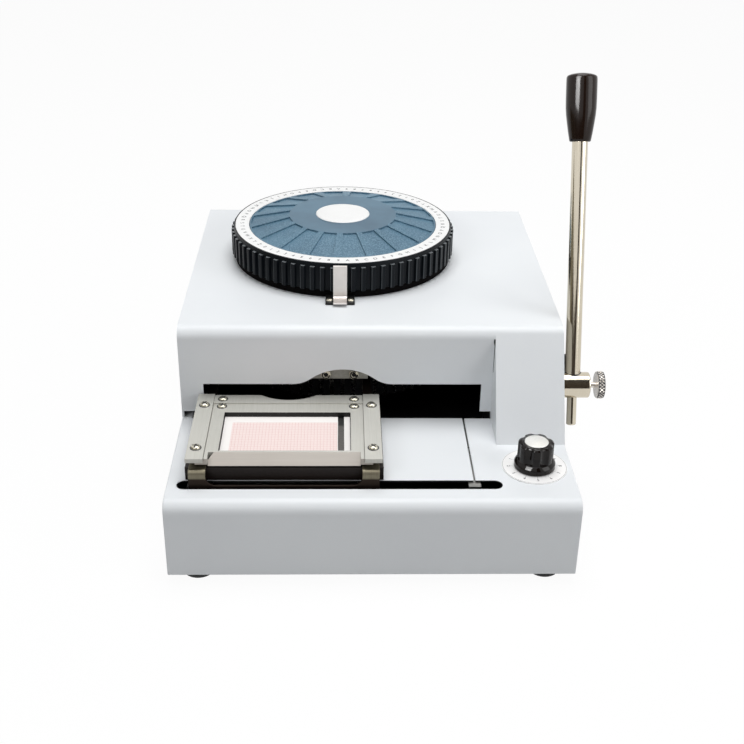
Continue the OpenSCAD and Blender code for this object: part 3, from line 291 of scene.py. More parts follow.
def makeDialPlastic(centre):
    # leather-like stipple on the panels, a smooth flat in the middle
    finish, tree, shader = newFinish("dialPlastic")
    coords = tree.nodes.new("ShaderNodeTexCoord")
    mapping = tree.nodes.new("ShaderNodeMapping")
    mapping.inputs["Location"].default_value = (-centre.x, -centre.y, 0)
    mapping.inputs["Scale"].default_value = (1, 1, 0)
    tree.links.new(coords.outputs["Object"], mapping.inputs["Vector"])
    length = tree.nodes.new("ShaderNodeVectorMath")
    length.operation = "LENGTH"
    tree.links.new(mapping.outputs["Vector"], length.inputs[0])
    edge = dialLook["flatRadius"] * mm
    onPanel = rangeNode(tree, length.outputs["Value"], edge, edge + dialLook["flatEdge"] * mm)
    grain = placeGroup(tree, "grain", "Scale", dialLook["stipple"])
    smudge = placeGroup(tree, "smudges", "Scale", dialLook["smudge"])
    base = mixColour(tree, smudge.outputs["Mask"], dialLook["colour"], dialLook["shade"])
    flecks = rangeNode(tree, grain.outputs["Height"], *dialLook["fleckRange"])
    flecks = mathNode(tree, "MULTIPLY", mathNode(tree, "MULTIPLY", flecks, onPanel), dialLook["fleckShare"])
    tree.links.new(mixColour(tree, flecks, base, dialLook["fleck"]), shader.inputs["Base Color"])
    low, high = dialLook["roughness"]
    tree.links.new(rangeNode(tree, onPanel, 0.0, 1.0, low, high), shader.inputs["Roughness"])
    addBump(tree, shader, mathNode(tree, "MULTIPLY", grain.outputs["Height"], onPanel), dialLook["bump"])
    return finish


cardLook = {"pitch": 2.2, "line": 0.2, "left": 6.0, "right": 9.0, "front": -10.0, "rear": 8.0, "soft": 0.3,
            "paper": srgb(250, 246, 243), "tint": srgb(246, 228, 224), "ink": srgb(214, 160, 156),
            "inkShare": (0.5, 0.95), "grain": 1600.0, "roughness": 0.42}


def makeCardPrint(low, high):
    # plain grid of fine pink rules inside bare margins
    finish, tree, shader = newFinish("cardPrint")
    shader.inputs["Roughness"].default_value = cardLook["roughness"]
    axes = objectAxes(tree)
    inside = rules = None
    for axis, start, end in (("X", low.x + cardLook["left"] * mm, high.x - cardLook["right"] * mm),
                             ("Y", low.y + cardLook["front"] * mm, high.y - cardLook["rear"] * mm)):
        soft = cardLook["soft"] * mm
        within = mathNode(tree, "MULTIPLY", rangeNode(tree, axes[axis], start - soft, start),
                          rangeNode(tree, axes[axis], end, end + soft, 1.0, 0.0))
        wave = mathNode(tree, "PINGPONG", axes[axis], cardLook["pitch"] * mm / 2)
        rule = rangeNode(tree, wave, 0.0, cardLook["line"] * mm, 1.0, 0.0)
        inside = within if inside is None else mathNode(tree, "MULTIPLY", inside, within)
        rules = rule if rules is None else mathNode(tree, "MAXIMUM", rules, rule)
    grain = placeGroup(tree, "grain", "Scale", cardLook["grain"])
    tinted = mixColour(tree, inside, cardLook["paper"], cardLook["tint"])
    wet = rangeNode(tree, grain.outputs["Speckle"], 0.0, 1.0, *cardLook["inkShare"])
    uneven = mathNode(tree, "MULTIPLY", mathNode(tree, "MULTIPLY", rules, wet), inside)
    tree.links.new(mixColour(tree, uneven, tinted, cardLook["ink"]), shader.inputs["Base Color"])
    return finish


print("finishes made:", len(finishes))


# mesh helpers: new meshes are drawn in millimetres and moved into the frame

weldGap = 3e-6  # metres
flatAngle, bevelAngle = 0.6, 26.0  # degrees: faces that are one flat, and edges that are eased


def boxMm(node):
    low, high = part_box(node)
    return low / mm, high / mm, (low + high) / 2 / mm


def meshOf(shape, name):
    mesh = bpy.data.meshes.new(name)
    shape.to_mesh(mesh)
    shape.free()
    return mesh


def welded(node):
    # a copy of the node's loose triangles, joined up
    shape = bmesh.new()
    shape.from_mesh(nodes[node].data)
    bmesh.ops.remove_doubles(shape, verts=shape.verts, dist=weldGap)
    return shape


def cadMesh(node):
    shape = welded(node)
    flat = math.radians(flatAngle)
    bmesh.ops.dissolve_limit(shape, angle_limit=flat, verts=shape.verts, edges=shape.edges)
    return meshOf(shape, node + "Copy")


def evaluatedMesh(carrier):
    graph = bpy.context.evaluated_depsgraph_get()
    mesh = bpy.data.meshes.new_from_object(carrier.evaluated_get(graph))
    bpy.data.objects.remove(carrier)
    return mesh


def carry(mesh):
    # a passing object, for modifiers and node trees to work on
    carrier = bpy.data.objects.new("carrier", mesh)
    bpy.context.scene.collection.objects.link(carrier)
    return carrier


def bevelled(mesh, width, segments=2):
    mesh.shade_smooth()
    carrier = carry(mesh)
    bevel = carrier.modifiers.new("bevel", "BEVEL")
    bevel.width = width * mm
    bevel.segments = segments
    bevel.limit_method = "ANGLE"
    bevel.angle_limit = math.radians(bevelAngle)
    flats = carrier.modifiers.new("flats", "WEIGHTED_NORMAL")
    flats.mode = "FACE_AREA"
    flats.weight = 100
    flats.keep_sharp = True
    return evaluatedMesh(carrier)


def roundPoints(radius, steps):
    turns = (2 * math.pi * i / steps for i in range(steps))
    return [(radius * math.cos(turn), radius * math.sin(turn)) for turn in turns]


def skin(shape, rings):
    # faces from each ring of points to the next, where a pole is a ring of one
    for first, second in zip(rings, rings[1:]):
        for i in range(max(len(first), len(second))):
            order = ((first, i), (first, i + 1), (second, i + 1), (second, i))
            corners = [ring[k % len(ring)] for ring, k in order]
            shape.faces.new(list(dict.fromkeys(corners)))
    bmesh.ops.recalc_face_normals(shape, faces=shape.faces)


def lathe(profile, steps, isRing=False):
    # (radius, height) pairs from one end of the outline to the other, or round a ring's section
    shape = bmesh.new()
    rings = []
    for radius, height in profile:
        spots = roundPoints(radius, steps) if radius else [(0, 0)]
        rings.append([shape.verts.new((x, y, height)) for x, y in spots])
    skin(shape, rings + rings[:1] if isRing else rings)
    return meshOf(shape, "lathe")


def corner(radius, height, offsets):
    # points of an eased corner, as (outward, upward) steps from where it would be sharp
    return [(radius + out, height + up) for out, up in offsets]


def prism(outline, low, high, topScale=1.0):
    shape = bmesh.new()
    bottom = [shape.verts.new((x, y, low)) for x, y in outline]
    top = [shape.verts.new((x * topScale, y * topScale, high)) for x, y in outline]
    shape.faces.new(bottom)
    shape.faces.new(top)
    skin(shape, [bottom, top])
    return meshOf(shape, "prism")


def joined(meshes):
    shape = bmesh.new()
    for mesh in meshes:
        shape.from_mesh(mesh)
    return meshOf(shape, "joined")


def smoothed(mesh, angle=32.0):
    mesh.shade_smooth()
    mesh.set_sharp_from_angle(angle=math.radians(angle))
    return mesh


def inFrame(mesh, place):
    mesh.transform(Matrix.Scale(mm, 4) @ place)
    return mesh


def addPiece(name, mesh, body, used, replaced=()):
    mesh.name = name
    piece = bpy.data.objects.new(name, mesh)
    bpy.context.scene.collection.objects.link(piece)
    painted = [min(face.material_index, len(used) - 1) for face in mesh.polygons]
    mesh.materials.clear()
    for finish in used:
        mesh.materials.append(finish)
    mesh.polygons.foreach_set("material_index", painted)
    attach(piece, body)
    if replaced:
        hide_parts(*replaced)


def addEased(name, node, body, finish, edge):
    # a CAD piece with its edges eased
    addPiece(name, bevelled(cadMesh(node), edge), body, [finishes[finish]], [node])


def addTurned(name, outline, steps, place, body, finish, node, angle=32.0):
    # a piece from the lathe in the place of a CAD piece
    mesh = inFrame(smoothed(lathe(outline, steps), angle), place)
    addPiece(name, mesh, body, [finishes[finish]], [node])


def paintFaces(mesh, index, test):
    for face in mesh.polygons:
        if test(face):
            face.material_index = index


# geometry node trees

def geometryTree(name, inputs):
    tree = bpy.data.node_groups.new(name, "GeometryNodeTree")
    sockets = tree.interface
    sockets.new_socket("Geometry", in_out="INPUT", socket_type="NodeSocketGeometry")
    sockets.new_socket("Geometry", in_out="OUTPUT", socket_type="NodeSocketGeometry")
    ids = {}
    for label, kind in inputs:
        ids[label] = sockets.new_socket(label, in_out="INPUT", socket_type=kind).identifier
    return tree, tree.nodes.new("NodeGroupInput"), tree.nodes.new("NodeGroupOutput"), ids


def closeTree(tree, ins, outs, instances):
    realize = tree.nodes.new("GeometryNodeRealizeInstances")
    setFinish = tree.nodes.new("GeometryNodeSetMaterial")
    tree.links.new(instances, realize.inputs["Geometry"])
    tree.links.new(realize.outputs["Geometry"], setFinish.inputs["Geometry"])
    tree.links.new(ins.outputs["Finish"], setFinish.inputs["Material"])
    tree.links.new(setFinish.outputs["Geometry"], outs.inputs["Geometry"])


def makeRingTree():
    # copies of one part round the Z axis, the first of them at Turn
    tree, ins, outs, ids = geometryTree("partsRoundAxis", [
        ("Part", "NodeSocketObject"), ("Count", "NodeSocketInt"), ("Radius", floatSocket),
        ("Turn", floatSocket), ("Finish", "NodeSocketMaterial")])
    circle = tree.nodes.new("GeometryNodeMeshCircle")
    tree.links.new(ins.outputs["Count"], circle.inputs["Vertices"])
    tree.links.new(ins.outputs["Radius"], circle.inputs["Radius"])
    index = tree.nodes.new("GeometryNodeInputIndex")
    step = mathNode(tree, "DIVIDE", 2 * math.pi, ins.outputs["Count"])
    angle = mathNode(tree, "MULTIPLY", index.outputs["Index"], step)
    turn = tree.nodes.new("ShaderNodeCombineXYZ")
    tree.links.new(angle, turn.inputs["Z"])
    part = tree.nodes.new("GeometryNodeObjectInfo")
    tree.links.new(ins.outputs["Part"], part.inputs["Object"])
    place = tree.nodes.new("GeometryNodeInstanceOnPoints")
    tree.links.new(circle.outputs["Mesh"], place.inputs["Points"])
    tree.links.new(part.outputs["Geometry"], place.inputs["Instance"])
    tree.links.new(turn.outputs["Vector"], place.inputs["Rotation"])
    whole = tree.nodes.new("GeometryNodeTransform")
    offset = tree.nodes.new("ShaderNodeCombineXYZ")
    tree.links.new(ins.outputs["Turn"], offset.inputs["Z"])
    tree.links.new(place.outputs["Instances"], whole.inputs["Geometry"])
    tree.links.new(offset.outputs["Vector"], whole.inputs["Rotation"])
    closeTree(tree, ins, outs, whole.outputs["Geometry"])
    return tree, ids


def makeScrewTree():
    # one screw on every point, each turned by chance about its axis
    tree, ins, outs, ids = geometryTree("screwsOnPoints", [
        ("Screw", "NodeSocketObject"), ("Size", "NodeSocketVector"), ("Seed", "NodeSocketInt"),
        ("Finish", "NodeSocketMaterial")])
    chance = tree.nodes.new("FunctionNodeRandomValue")
    chance.data_type = "FLOAT"
    chance.inputs[3].default_value = 2 * math.pi
    tree.links.new(ins.outputs["Seed"], chance.inputs["Seed"])
    turn = tree.nodes.new("ShaderNodeCombineXYZ")
    tree.links.new(chance.outputs[1], turn.inputs["Z"])
    part = tree.nodes.new("GeometryNodeObjectInfo")
    tree.links.new(ins.outputs["Screw"], part.inputs["Object"])
    place = tree.nodes.new("GeometryNodeInstanceOnPoints")
    tree.links.new(ins.outputs["Geometry"], place.inputs["Points"])
    tree.links.new(part.outputs["Geometry"], place.inputs["Instance"])
    tree.links.new(turn.outputs["Vector"], place.inputs["Rotation"])
    tree.links.new(ins.outputs["Size"], place.inputs["Scale"])
    closeTree(tree, ins, outs, place.outputs["Instances"])
    return tree, ids


trees = {"ring": makeRingTree(), "screws": makeScrewTree()}


def runTree(key, values, points=()):
    tree, ids = trees[key]
    mesh = bpy.data.meshes.new("points")
    mesh.from_pydata([tuple(p) for p in points], [], [])
    carrier = carry(mesh)
    modifier = carrier.modifiers.new(key, "NODES")
    modifier.node_group = tree
    for label, value in values.items():
        modifier[ids[label]] = value
    mesh = evaluatedMesh(carrier)
    mesh.polygons.foreach_set("material_index", [0] * len(mesh.polygons))
    return mesh


def roundAxis(part, count, radius, finish, turn=0.0):
    source = carry(part)
    mesh = runTree("ring", {"Part": source, "Count": count, "Radius": float(radius), "Turn": float(turn),
                            "Finish": finish})
    bpy.data.objects.remove(source)
    return mesh


# pan-head screw of unit width with a cross recess

screwLook = {"height": 0.3, "recessLong": 0.34, "recessWide": 0.08, "recessDepth": 0.2, "recessFlare": 1.25,
             "fill": 0.07, "fillSunk": 0.02, "fillFlare": 1.1, "seed": 4,
             "dome": [(0, 1), (0.2, 0.985), (0.34, 0.92), (0.43, 0.74), (0.48, 0.42), (0.5, 0), (0, 0)],
             "seat": [(0, 0.03), (0.57, 0.03), (0.6, 0.012), (0.6, 0), (0, 0)], "steps": 32}
screwTop, recessFloor = screwLook["height"], screwLook["height"] - screwLook["recessDepth"]


def crossPrism(low, high, topScale):
    wide, long = screwLook["recessWide"], screwLook["recessLong"]
    arm = [(wide, -long), (wide, -wide), (long, -wide)]
    cross = arm + [(-y, x) for x, y in arm] + [(-x, -y) for x, y in arm] + [(y, -x) for x, y in arm]
    return prism(cross, low, high, topScale)


def makeScrew():
    head = lathe([(r, screwTop * share) for r, share in screwLook["dome"]], screwLook["steps"])
    carrier = carry(smoothed(head, angle=40))
    tool = carry(crossPrism(recessFloor, screwTop + 0.1, screwLook["recessFlare"]))
    cut = carrier.modifiers.new("recess", "BOOLEAN")
    cut.object = tool
    cut.solver = "EXACT"
    mesh = evaluatedMesh(carrier)
    bpy.data.objects.remove(tool)
    return mesh


def makeScrewDark():
    # painted shade: a dark fill on the recess floor and a dark line round the seat
    seat = smoothed(lathe(screwLook["seat"], screwLook["steps"]))
    low, high = recessFloor - screwLook["fillSunk"], screwTop - screwLook["fill"]
    return joined([seat, crossPrism(low, high, screwLook["fillFlare"])])


screwPart, screwShadePart = carry(makeScrew()), carry(makeScrewDark())


def solidBoxes(node):
    # box of every separate solid in a node, in millimetres
    shape = welded(node)
    boxes, left = [], set(shape.verts)
    while left:
        stack = [left.pop()]
        low, high = stack[0].co.copy(), stack[0].co.copy()
        while stack:
            vert = stack.pop()
            low, high = Vector(map(min, low, vert.co)), Vector(map(max, high, vert.co))
            for other in {v for edge in vert.link_edges for v in edge.verts} & left:
                left.remove(other)
                stack.append(other)
        boxes.append((low / mm, high / mm))
    shape.free()
    return sorted(boxes, key=lambda pair: tuple(round(c, 2) for c in pair[0]))


def addScrews(name, node, body, size, back=False):
    # heads on their seats at the node's own places, with a painted shadow line round each seat and painted
    # shade in each recess
    width, height = size
    points = []
    for low, high in solidBoxes(node):
        middle = (low + high) / 2
        if back:
            points.append((middle.x, -middle.z, high.y - height))
        else:
            points.append((middle.x, middle.y, high.z - height))
    turned = Matrix.Rotation(math.radians(-90), 4, "X") if back else Matrix.Identity(4)
    values = {"Size": (width, width, height / screwTop), "Seed": screwLook["seed"]}
    for label, part, finish, replaced in ((name, screwPart, finishes["screwSteel"], [node]),
                                          (name + "Seats", screwShadePart, finishes["darkInkAndShade"], [])):
        mesh = runTree("screws", {"Screw": part, "Finish": finish, **values}, points)
        addPiece(label, inFrame(mesh, turned), body, [finish], replaced)


# casing: painted outside; inside faces and slot walls dark, painted shade

casingLook = {"edge": 0.9, "deckEdge": 0.35, "segments": 3, "probe": 0.4, "skirt": 20.0, "roof": 30.0,
              "steep": 0.5, "downward": -0.6,
              "slotX": (-144.6, 69.8), "slotY": (-157.5, -146.9), "slotLip": 0.35, "screw": (7.0, 2.2),
              "seamCorner": (71.15, -64.95, 0), "seamDepth": (-0.2, 0.04),
              "seamOutline": [(-1.2, 126), (0.1, 126), (0.1, 100), (-0.3, 100), (-0.5, 121), (-1.2, 123.6)]}
casingPaints = [finishes["casingPaint"], finishes["innerShade"]]


# painted shade: the slot's walls below the deck take the dark finish
def isSlotWall(face):
    spot = face.center / mm
    lowX, highX = casingLook["slotX"]
    lowY, highY = casingLook["slotY"]
    below = spot.z < deckTop / mm - casingLook["slotLip"] and abs(face.normal.z) < casingLook["steep"]
    return below and lowX < spot.x < highX and lowY < spot.y < highY


def paintedOutside(node, name):
    source = cadMesh(node)
    low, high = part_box(node)
    middle = (low + high) / 2
    probe = bmesh.new()
    probe.from_mesh(source)
    walls = BVHTree.FromBMesh(probe)
    probe.free()
    mesh = bevelled(source, casingLook["edge"], casingLook["segments"])

    def isInside(face):
        start = face.center + face.normal * casingLook["probe"] * mm
        facesWall = walls.ray_cast(start, face.normal)[0] is not None
        if face.normal.z < casingLook["downward"] and face.center.z > low.z + casingLook["skirt"] * mm:
            return face.center.z > high.z - casingLook["roof"] * mm or facesWall
        return facesWall and (face.center - middle).dot(face.normal) < 0

    # painted shade on the inside faces and the slot walls
    paintFaces(mesh, 1, lambda face: isInside(face) or isSlotWall(face))
    addPiece(name, mesh, "frame", casingPaints, [node])


paintedOutside("base_shell", "baseCasing")
paintedOutside("hood", "hoodCasing")
deckMesh = bevelled(cadMesh("deck_plate"), casingLook["deckEdge"])
# painted shade on the deck's edge in the slot
paintFaces(deckMesh, 1, isSlotWall)
addPiece("deckPanel", deckMesh, "frame", casingPaints, ["deck_plate"])
seamPlace = Matrix.Translation(casingLook["seamCorner"]) @ Matrix.Rotation(math.radians(90), 4, "X")
seamMesh = inFrame(prism(casingLook["seamOutline"], *casingLook["seamDepth"]), seamPlace)
addPiece("pierSeam", seamMesh, "frame", [finishes["seamShade"]])

footLook = {"edge": [(-1.4, 0), (-0.56, 0.42), (0, 1.4)], "dish": 0.6, "dishShare": (0.3, 0.36),
            "steps": 48}
footMeshes = []
for low, high in solidBoxes("feet"):
    r, h, dish = (high.x - low.x) / 2, high.z - low.z, footLook["dish"]
    inner, outer = (r * share for share in footLook["dishShare"])
    outline = [(0, dish), (inner, dish), (outer, 0)] + corner(r, 0, footLook["edge"]) + [(r, h), (0, h)]
    footPlace = Matrix.Translation(((low.x + high.x) / 2, (low.y + high.y) / 2, low.z))
    footMeshes.append(inFrame(lathe(outline, footLook["steps"]), footPlace))
addPiece("rubberFeet", smoothed(joined(footMeshes), angle=40), "frame", [finishes["rubber"]],
         ["feet"])
addScrews("rearScrews", "hood_screws", "frame", casingLook["screw"], back=True)
print("casing done")


# dial: ribbed rim, stippled plate, white ring with plain characters, bare cap

dialShape = {"ribs": 72, "ribRoot": 2.3, "ribTip": 1.55, "ribDeep": 2.9, "ribDrop": 2.2, "ribEdge": 0.45,
             "litCorner": 0.3, "litTop": 0.7, "collar": 85.2, "lip": [(0, -0.6), (-0.18, -0.18), (-0.6, 0)],
             "footEdge": 0.6, "bore": 10.1, "hub": 18.0, "hollow": 80.6, "web": 4.0, "ringGap": 0.05,
             "plateGap": 0.3, "plateEdge": 0.12, "bandEdge": 0.2, "steps": 288,
             "characters": "ABCDEFGHIJKLMNOPQRSTUVWXYZ0123456789" * 2, "characterSize": 4.3,
             "characterRadius": 78.9, "underShadeInset": 2.4, "underShadeWidth": 5.0, "underShadeGap": 0.4, "underShadeRise": 0.3,
             "capMiddle": (0.6, -0.06), "capEdge": [(-1.2, -0.3), (-0.3, -0.6), (0, -0.9)],
             "smoothSteps": 128}
inkLift = 0.02  # millimetres that printing stands above its ground
wheelLow, wheelHigh, dialCentre = boxMm("dial_wheel")
ringLow, ringHigh, _ = boxMm("index_ring")
plateLow, plateHigh, _ = boxMm("dial_plate")
capLow, capHigh, _ = boxMm("dial_cap")
dialPlace = Matrix.Translation((dialCentre.x, dialCentre.y, 0))
wheelR, capRadius, capTop = (wheelHigh.x - wheelLow.x) / 2, (capHigh.x - capLow.x) / 2, capHigh.z


def makeRim():
    z0, seat, top, web = wheelLow.z, ringLow.z, ringHigh.z, plateLow.z
    r, edge, hub, hollow, bore = (dialShape[k] for k in ("collar", "footEdge", "hub", "hollow", "bore"))
    recess = (ringHigh.x - ringLow.x) / 2 + dialShape["ringGap"]
    inner = (plateHigh.x - plateLow.x) / 2 + dialShape["plateGap"]
    under = web - dialShape["web"]
    below = [(hub, z0), (hub, under), (hollow, under), (hollow, z0), (r - edge, z0), (r, z0 + edge)]
    above = [(recess, top), (recess, seat), (inner, seat), (inner, web), (bore, web), (bore, z0)]
    outline = below + corner(r, top, dialShape["lip"]) + above
    return smoothed(lathe(outline, dialShape["steps"], isRing=True))


def makeRib():
    tip, deep, root = dialShape["ribTip"], dialShape["ribDeep"], dialShape["ribRoot"]
    outline = [(-deep, -root), (0, -tip), (0, tip), (-deep, root)]
    rib = prism(outline, wheelLow.z, ringLow.z - dialShape["ribDrop"])
    return bevelled(rib, dialShape["ribEdge"] / mm)  # still drawn in millimetres here


def glyph(text, size):
    curve = bpy.data.curves.new("glyph", "FONT")
    curve.body = text
    curve.size = size
    curve.extrude = inkLift
    curve.resolution_u = 3
    curve.align_x, curve.align_y = "CENTER", "CENTER"
    return evaluatedMesh(carry(curve))


def glyphRing(texts, size, radius, height, firstTurn, steps):
    # upright characters round an axis, read from outside
    letters = []
    for i, text in enumerate(texts):
        turn = Matrix.Rotation(2 * math.pi * i / steps + firstTurn, 4, "Z")
        letter = glyph(text, size)
        letter.transform(turn @ Matrix.Translation((0, -radius, height + inkLift)))
        letters.append(letter)
    return joined(letters)


def isRubbed(face):
    # painted highlight: the eased corner on one side of each rib's tip, lighter as if lit from that side
    out = Vector((face.center.x, face.center.y, 0)).normalized()
    along = Vector((out.y, -out.x, 0))
    return min(face.normal.dot(out), face.normal.dot(along)) > dialShape["litCorner"]


ribMesh = roundAxis(makeRib(), dialShape["ribs"], wheelR, finishes["rimPlastic"])
paintFaces(ribMesh, 1, isRubbed)
# painted highlight: rib faces that look up are lighter
paintFaces(ribMesh, 2, lambda face: face.normal.z > dialShape["litTop"])
addPiece("dialRim", inFrame(joined([makeRim(), ribMesh]), dialPlace), "dial",
         [finishes["rimPlastic"], finishes["rimPaintedHighlight"], finishes["ribTopHighlight"]], ["dial_wheel"])
# painted shade: a black ring under the rim stands for the deep shade beneath the dial
underShadeOut, underShadeTop = wheelR - dialShape["underShadeInset"], wheelLow.z + dialShape["underShadeRise"]
underShadeIn, underShadeFoot = underShadeOut - dialShape["underShadeWidth"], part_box("hood")[1].z / mm + dialShape["underShadeGap"]
underShadeOutline = [(underShadeIn, underShadeTop), (underShadeIn, underShadeFoot), (underShadeOut, underShadeFoot), (underShadeOut, underShadeTop)]
underShadeMesh = smoothed(lathe(underShadeOutline, dialShape["smoothSteps"], isRing=True))
addPiece("dialSeal", inFrame(underShadeMesh, dialPlace), "dial", [finishes["underRimShade"]])
faceMesh = bevelled(cadMesh("dial_plate"), dialShape["plateEdge"], segments=1)
addPiece("dialFace", faceMesh, "dial", [makeDialPlastic(dialCentre * mm)], ["dial_plate"])
addEased("indexBand", "index_ring", "dial", "whitePlastic", dialShape["bandEdge"])
characters = dialShape["characters"]
letterMesh = glyphRing(characters, dialShape["characterSize"], dialShape["characterRadius"], ringHigh.z,
                       math.pi / len(characters), len(characters))
addPiece("indexCharacters", inFrame(letterMesh, dialPlace), "dial", [finishes["darkInkAndShade"]])
middleShare, middleDrop = dialShape["capMiddle"]
capOutline = [(0, capTop), (capRadius * middleShare, capTop + middleDrop)]
capOutline += corner(capRadius, capTop, dialShape["capEdge"]) + [(capRadius, capLow.z), (0, capLow.z)]
addTurned("dialCap", capOutline, dialShape["smoothSteps"], dialPlace, "dial",
          "whitePlastic", "dial_cap", angle=40)
print("dial done")


# pointer before the rim

pointerLook = {"stripEdge": 0.2, "footEdge": 0.35, "screw": (4.4, 1.4)}
addEased("pointerStrip", "pointer", "frame", "pointerSteel", pointerLook["stripEdge"])
addEased("pointerFoot", "pointer_base", "frame", "blackPaintAndShade", pointerLook["footEdge"])
addScrews("pointerScrews", "pointer_screws", "frame", pointerLook["screw"])
print("pointer done")


# carriage and card holder

carriageLook = {"bedEdge": 0.6, "apronEdge": 0.25, "railEdge": 0.3, "screw": (6.4, 2.0)}
addEased("carriageBed", "carriage_bed", "carriage", "blackSteel",
         carriageLook["bedEdge"])
addEased("carriageApron", "carriage_apron", "carriage", "oliveSteel",
         carriageLook["apronEdge"])
addEased("railPair", "side_rails", "carriage", "brushedSteel", carriageLook["railEdge"])
addScrews("railScrews", "rail_screws", "carriage", carriageLook["screw"])

holderLook = {"edge": 0.15, "windowMargin": 0.4, "steep": 0.3, "lipDepth": 6.0, "lipTilt": -0.35,
              "screw": (6.0, 1.6), "cardEdge": 0.1}
cardLow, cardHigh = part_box("layout_card")
holder = bevelled(cadMesh("card_frame"), holderLook["edge"])
margin = holderLook["windowMargin"] * mm
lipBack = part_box("card_frame")[0].y + holderLook["lipDepth"] * mm


def isWindowWall(face):
    c = face.center
    return (abs(face.normal.z) < holderLook["steep"] and cardLow.x - margin < c.x < cardHigh.x + margin
            and cardLow.y - margin < c.y < cardHigh.y + margin)


# painted shade: the card window's inner walls are black, where the frame shades them
paintFaces(holder, 1, isWindowWall)
paintFaces(holder, 2, lambda face: face.normal.y < holderLook["lipTilt"] and face.center.y < lipBack)
addPiece("cardHolder", holder, "card_holder",
         [finishes["brushedSteel"], finishes["blackPaintAndShade"], finishes["plainSteel"]], ["card_frame"])
addScrews("holderScrews", "frame_screws", "card_holder", holderLook["screw"])
cardMesh = bevelled(cadMesh("layout_card"), holderLook["cardEdge"], segments=1)
addPiece("layoutSheet", cardMesh, "card_holder", [makeCardPrint(cardLow, cardHigh)],
         ["layout_card"])
print("carriage done")


# press head behind the arch

pressLook = {"blockEdge": 0.4, "capEdge": 0.3, "screwEdge": 0.4, "socket": 1.7}
addEased("pressBlock", "press_head", "upper_press", "blackPaintAndShade", pressLook["blockEdge"])
addEased("pressCapPlate", "press_head_cap", "upper_press", "plateSteel",
         pressLook["capEdge"])
pressAxes = [(low + high) / 2 * mm for low, high in solidBoxes("press_head_screws")]
pressScrews = bevelled(cadMesh("press_head_screws"), pressLook["screwEdge"])


# painted shade: the socket in each press screw head is dark
def isSocket(face):
    off = min(math.hypot(face.center.x - axis.x, face.center.z - axis.z) for axis in pressAxes)
    return off < pressLook["socket"] * mm


paintFaces(pressScrews, 1, isSocket)
addPiece("pressScrews", pressScrews, "upper_press",
         [finishes["screwSteel"], finishes["blackPaintAndShade"]], ["press_head_screws"])
print("press done")


# lever: rod, hub, grip, knurled thumb screw, and the stop behind it

leverShape = {"lean": 19.6, "tail": -29.0, "seat": 7.9, "length": 171.0, "spigot": 18.0, "shankR": 3.5,
              "rodR": 5.5, "tailEdge": [(-0.8, 0), (-0.2, 0.4), (0, 1), (0, 1.4)],
              "seatEdge": [(-0.3, 0), (0, 0.4)], "hubR": 9.3, "hubInner": [(-0.8, 0), (0, 0.8)],
              "hubOuter": [(0, -1.1), (0, -0.8), (-0.25, -0.25), (-0.8, 0)], "lineInset": 0.2,
              "lineWide": 0.55, "lineLift": 0.05, "lineSunk": 0.3, "rodSteps": 64, "hubSteps": 96,
              "grip": [(0, 0), (6.9, 0), (7.4, 0.5), (7.7, 2.0), (8.6, 7.0), (9.5, 13.0), (10.2, 18.0),
                       (10.6, 23.0), (10.7, 29.0), (10.7, 40.0), (10.65, 42.8), (10.5, 43.8),
                       (10.1, 44.5), (9.4, 45.0), (7.5, 45.7), (4.5, 46.3), (0, 46.5)]}
hubLow, hubHigh, hubCentre = boxMm("lever_hub")
leverPlace = Matrix.Translation((0, hubCentre.y, hubCentre.z))
leverPlace = leverPlace @ Matrix.Rotation(math.radians(-leverShape["lean"]), 4, "X")
rodPlace = leverPlace @ Matrix.Translation((boxMm("lever_rod")[2].x, 0, 0))
alongX = Matrix.Rotation(math.radians(90), 4, "Y")

tail, seat, rodEnd, shankR, rodR = (leverShape[k] for k in ("tail", "seat", "length", "shankR", "rodR"))
spigotEnd = rodEnd + leverShape["spigot"]
rodOutline = [(0, tail)] + corner(shankR, tail, leverShape["tailEdge"]) + [(shankR, seat)]
rodOutline += corner(rodR, seat, leverShape["seatEdge"]) + [(rodR, rodEnd), (shankR, rodEnd)]
rodOutline += [(shankR, spigotEnd), (0, spigotEnd)]
addTurned("leverRod", rodOutline, leverShape["rodSteps"], rodPlace, "lever", "nickel",
          "lever_rod")
hubR, hubStart, hubEnd = leverShape["hubR"], hubLow.x, hubHigh.x
hubOutline = [(0, hubStart)] + corner(hubR, hubStart, leverShape["hubInner"])
hubOutline += corner(hubR, hubEnd, leverShape["hubOuter"]) + [(0, hubEnd)]
addTurned("leverHub", hubOutline, leverShape["hubSteps"], leverPlace @ alongX, "lever", "nickel",
          "lever_hub")


def makeSeatLine():
    # painted shadow: a thin dark ring where the rod enters the round hub
    shape = bmesh.new()
    inside, outside = rodR - leverShape["lineInset"], rodR + leverShape["lineWide"]
    lift, sunk = leverShape["lineLift"], -leverShape["lineSunk"]
    rings = []
    for radius, rise in ((inside, sunk), (inside, lift), (outside, lift), (outside, sunk)):
        spots = roundPoints(radius, leverShape["rodSteps"])
        rings.append([shape.verts.new((x, y, math.sqrt(hubR ** 2 - y ** 2) + rise)) for x, y in spots])
    skin(shape, rings + rings[:1])
    return smoothed(meshOf(shape, "seatShadow"))


addPiece("leverSeatLine", inFrame(makeSeatLine(), rodPlace), "lever", [finishes["darkInkAndShade"]])
gripPlace = rodPlace @ Matrix.Translation((0, 0, rodEnd))
addTurned("leverGrip", leverShape["grip"], leverShape["rodSteps"], gripPlace, "lever",
          "gripPlastic", "lever_grip", angle=50)

thumbShape = {"radius": 9.5, "thick": 5.2, "neck": 2.0, "edge": 0.3, "rows": 4, "count": 24, "deep": 0.5,
              "share": 0.7, "margin": 0.2, "sunk": 0.02, "steep": 0.1, "band": 0.5, "steps": 96}


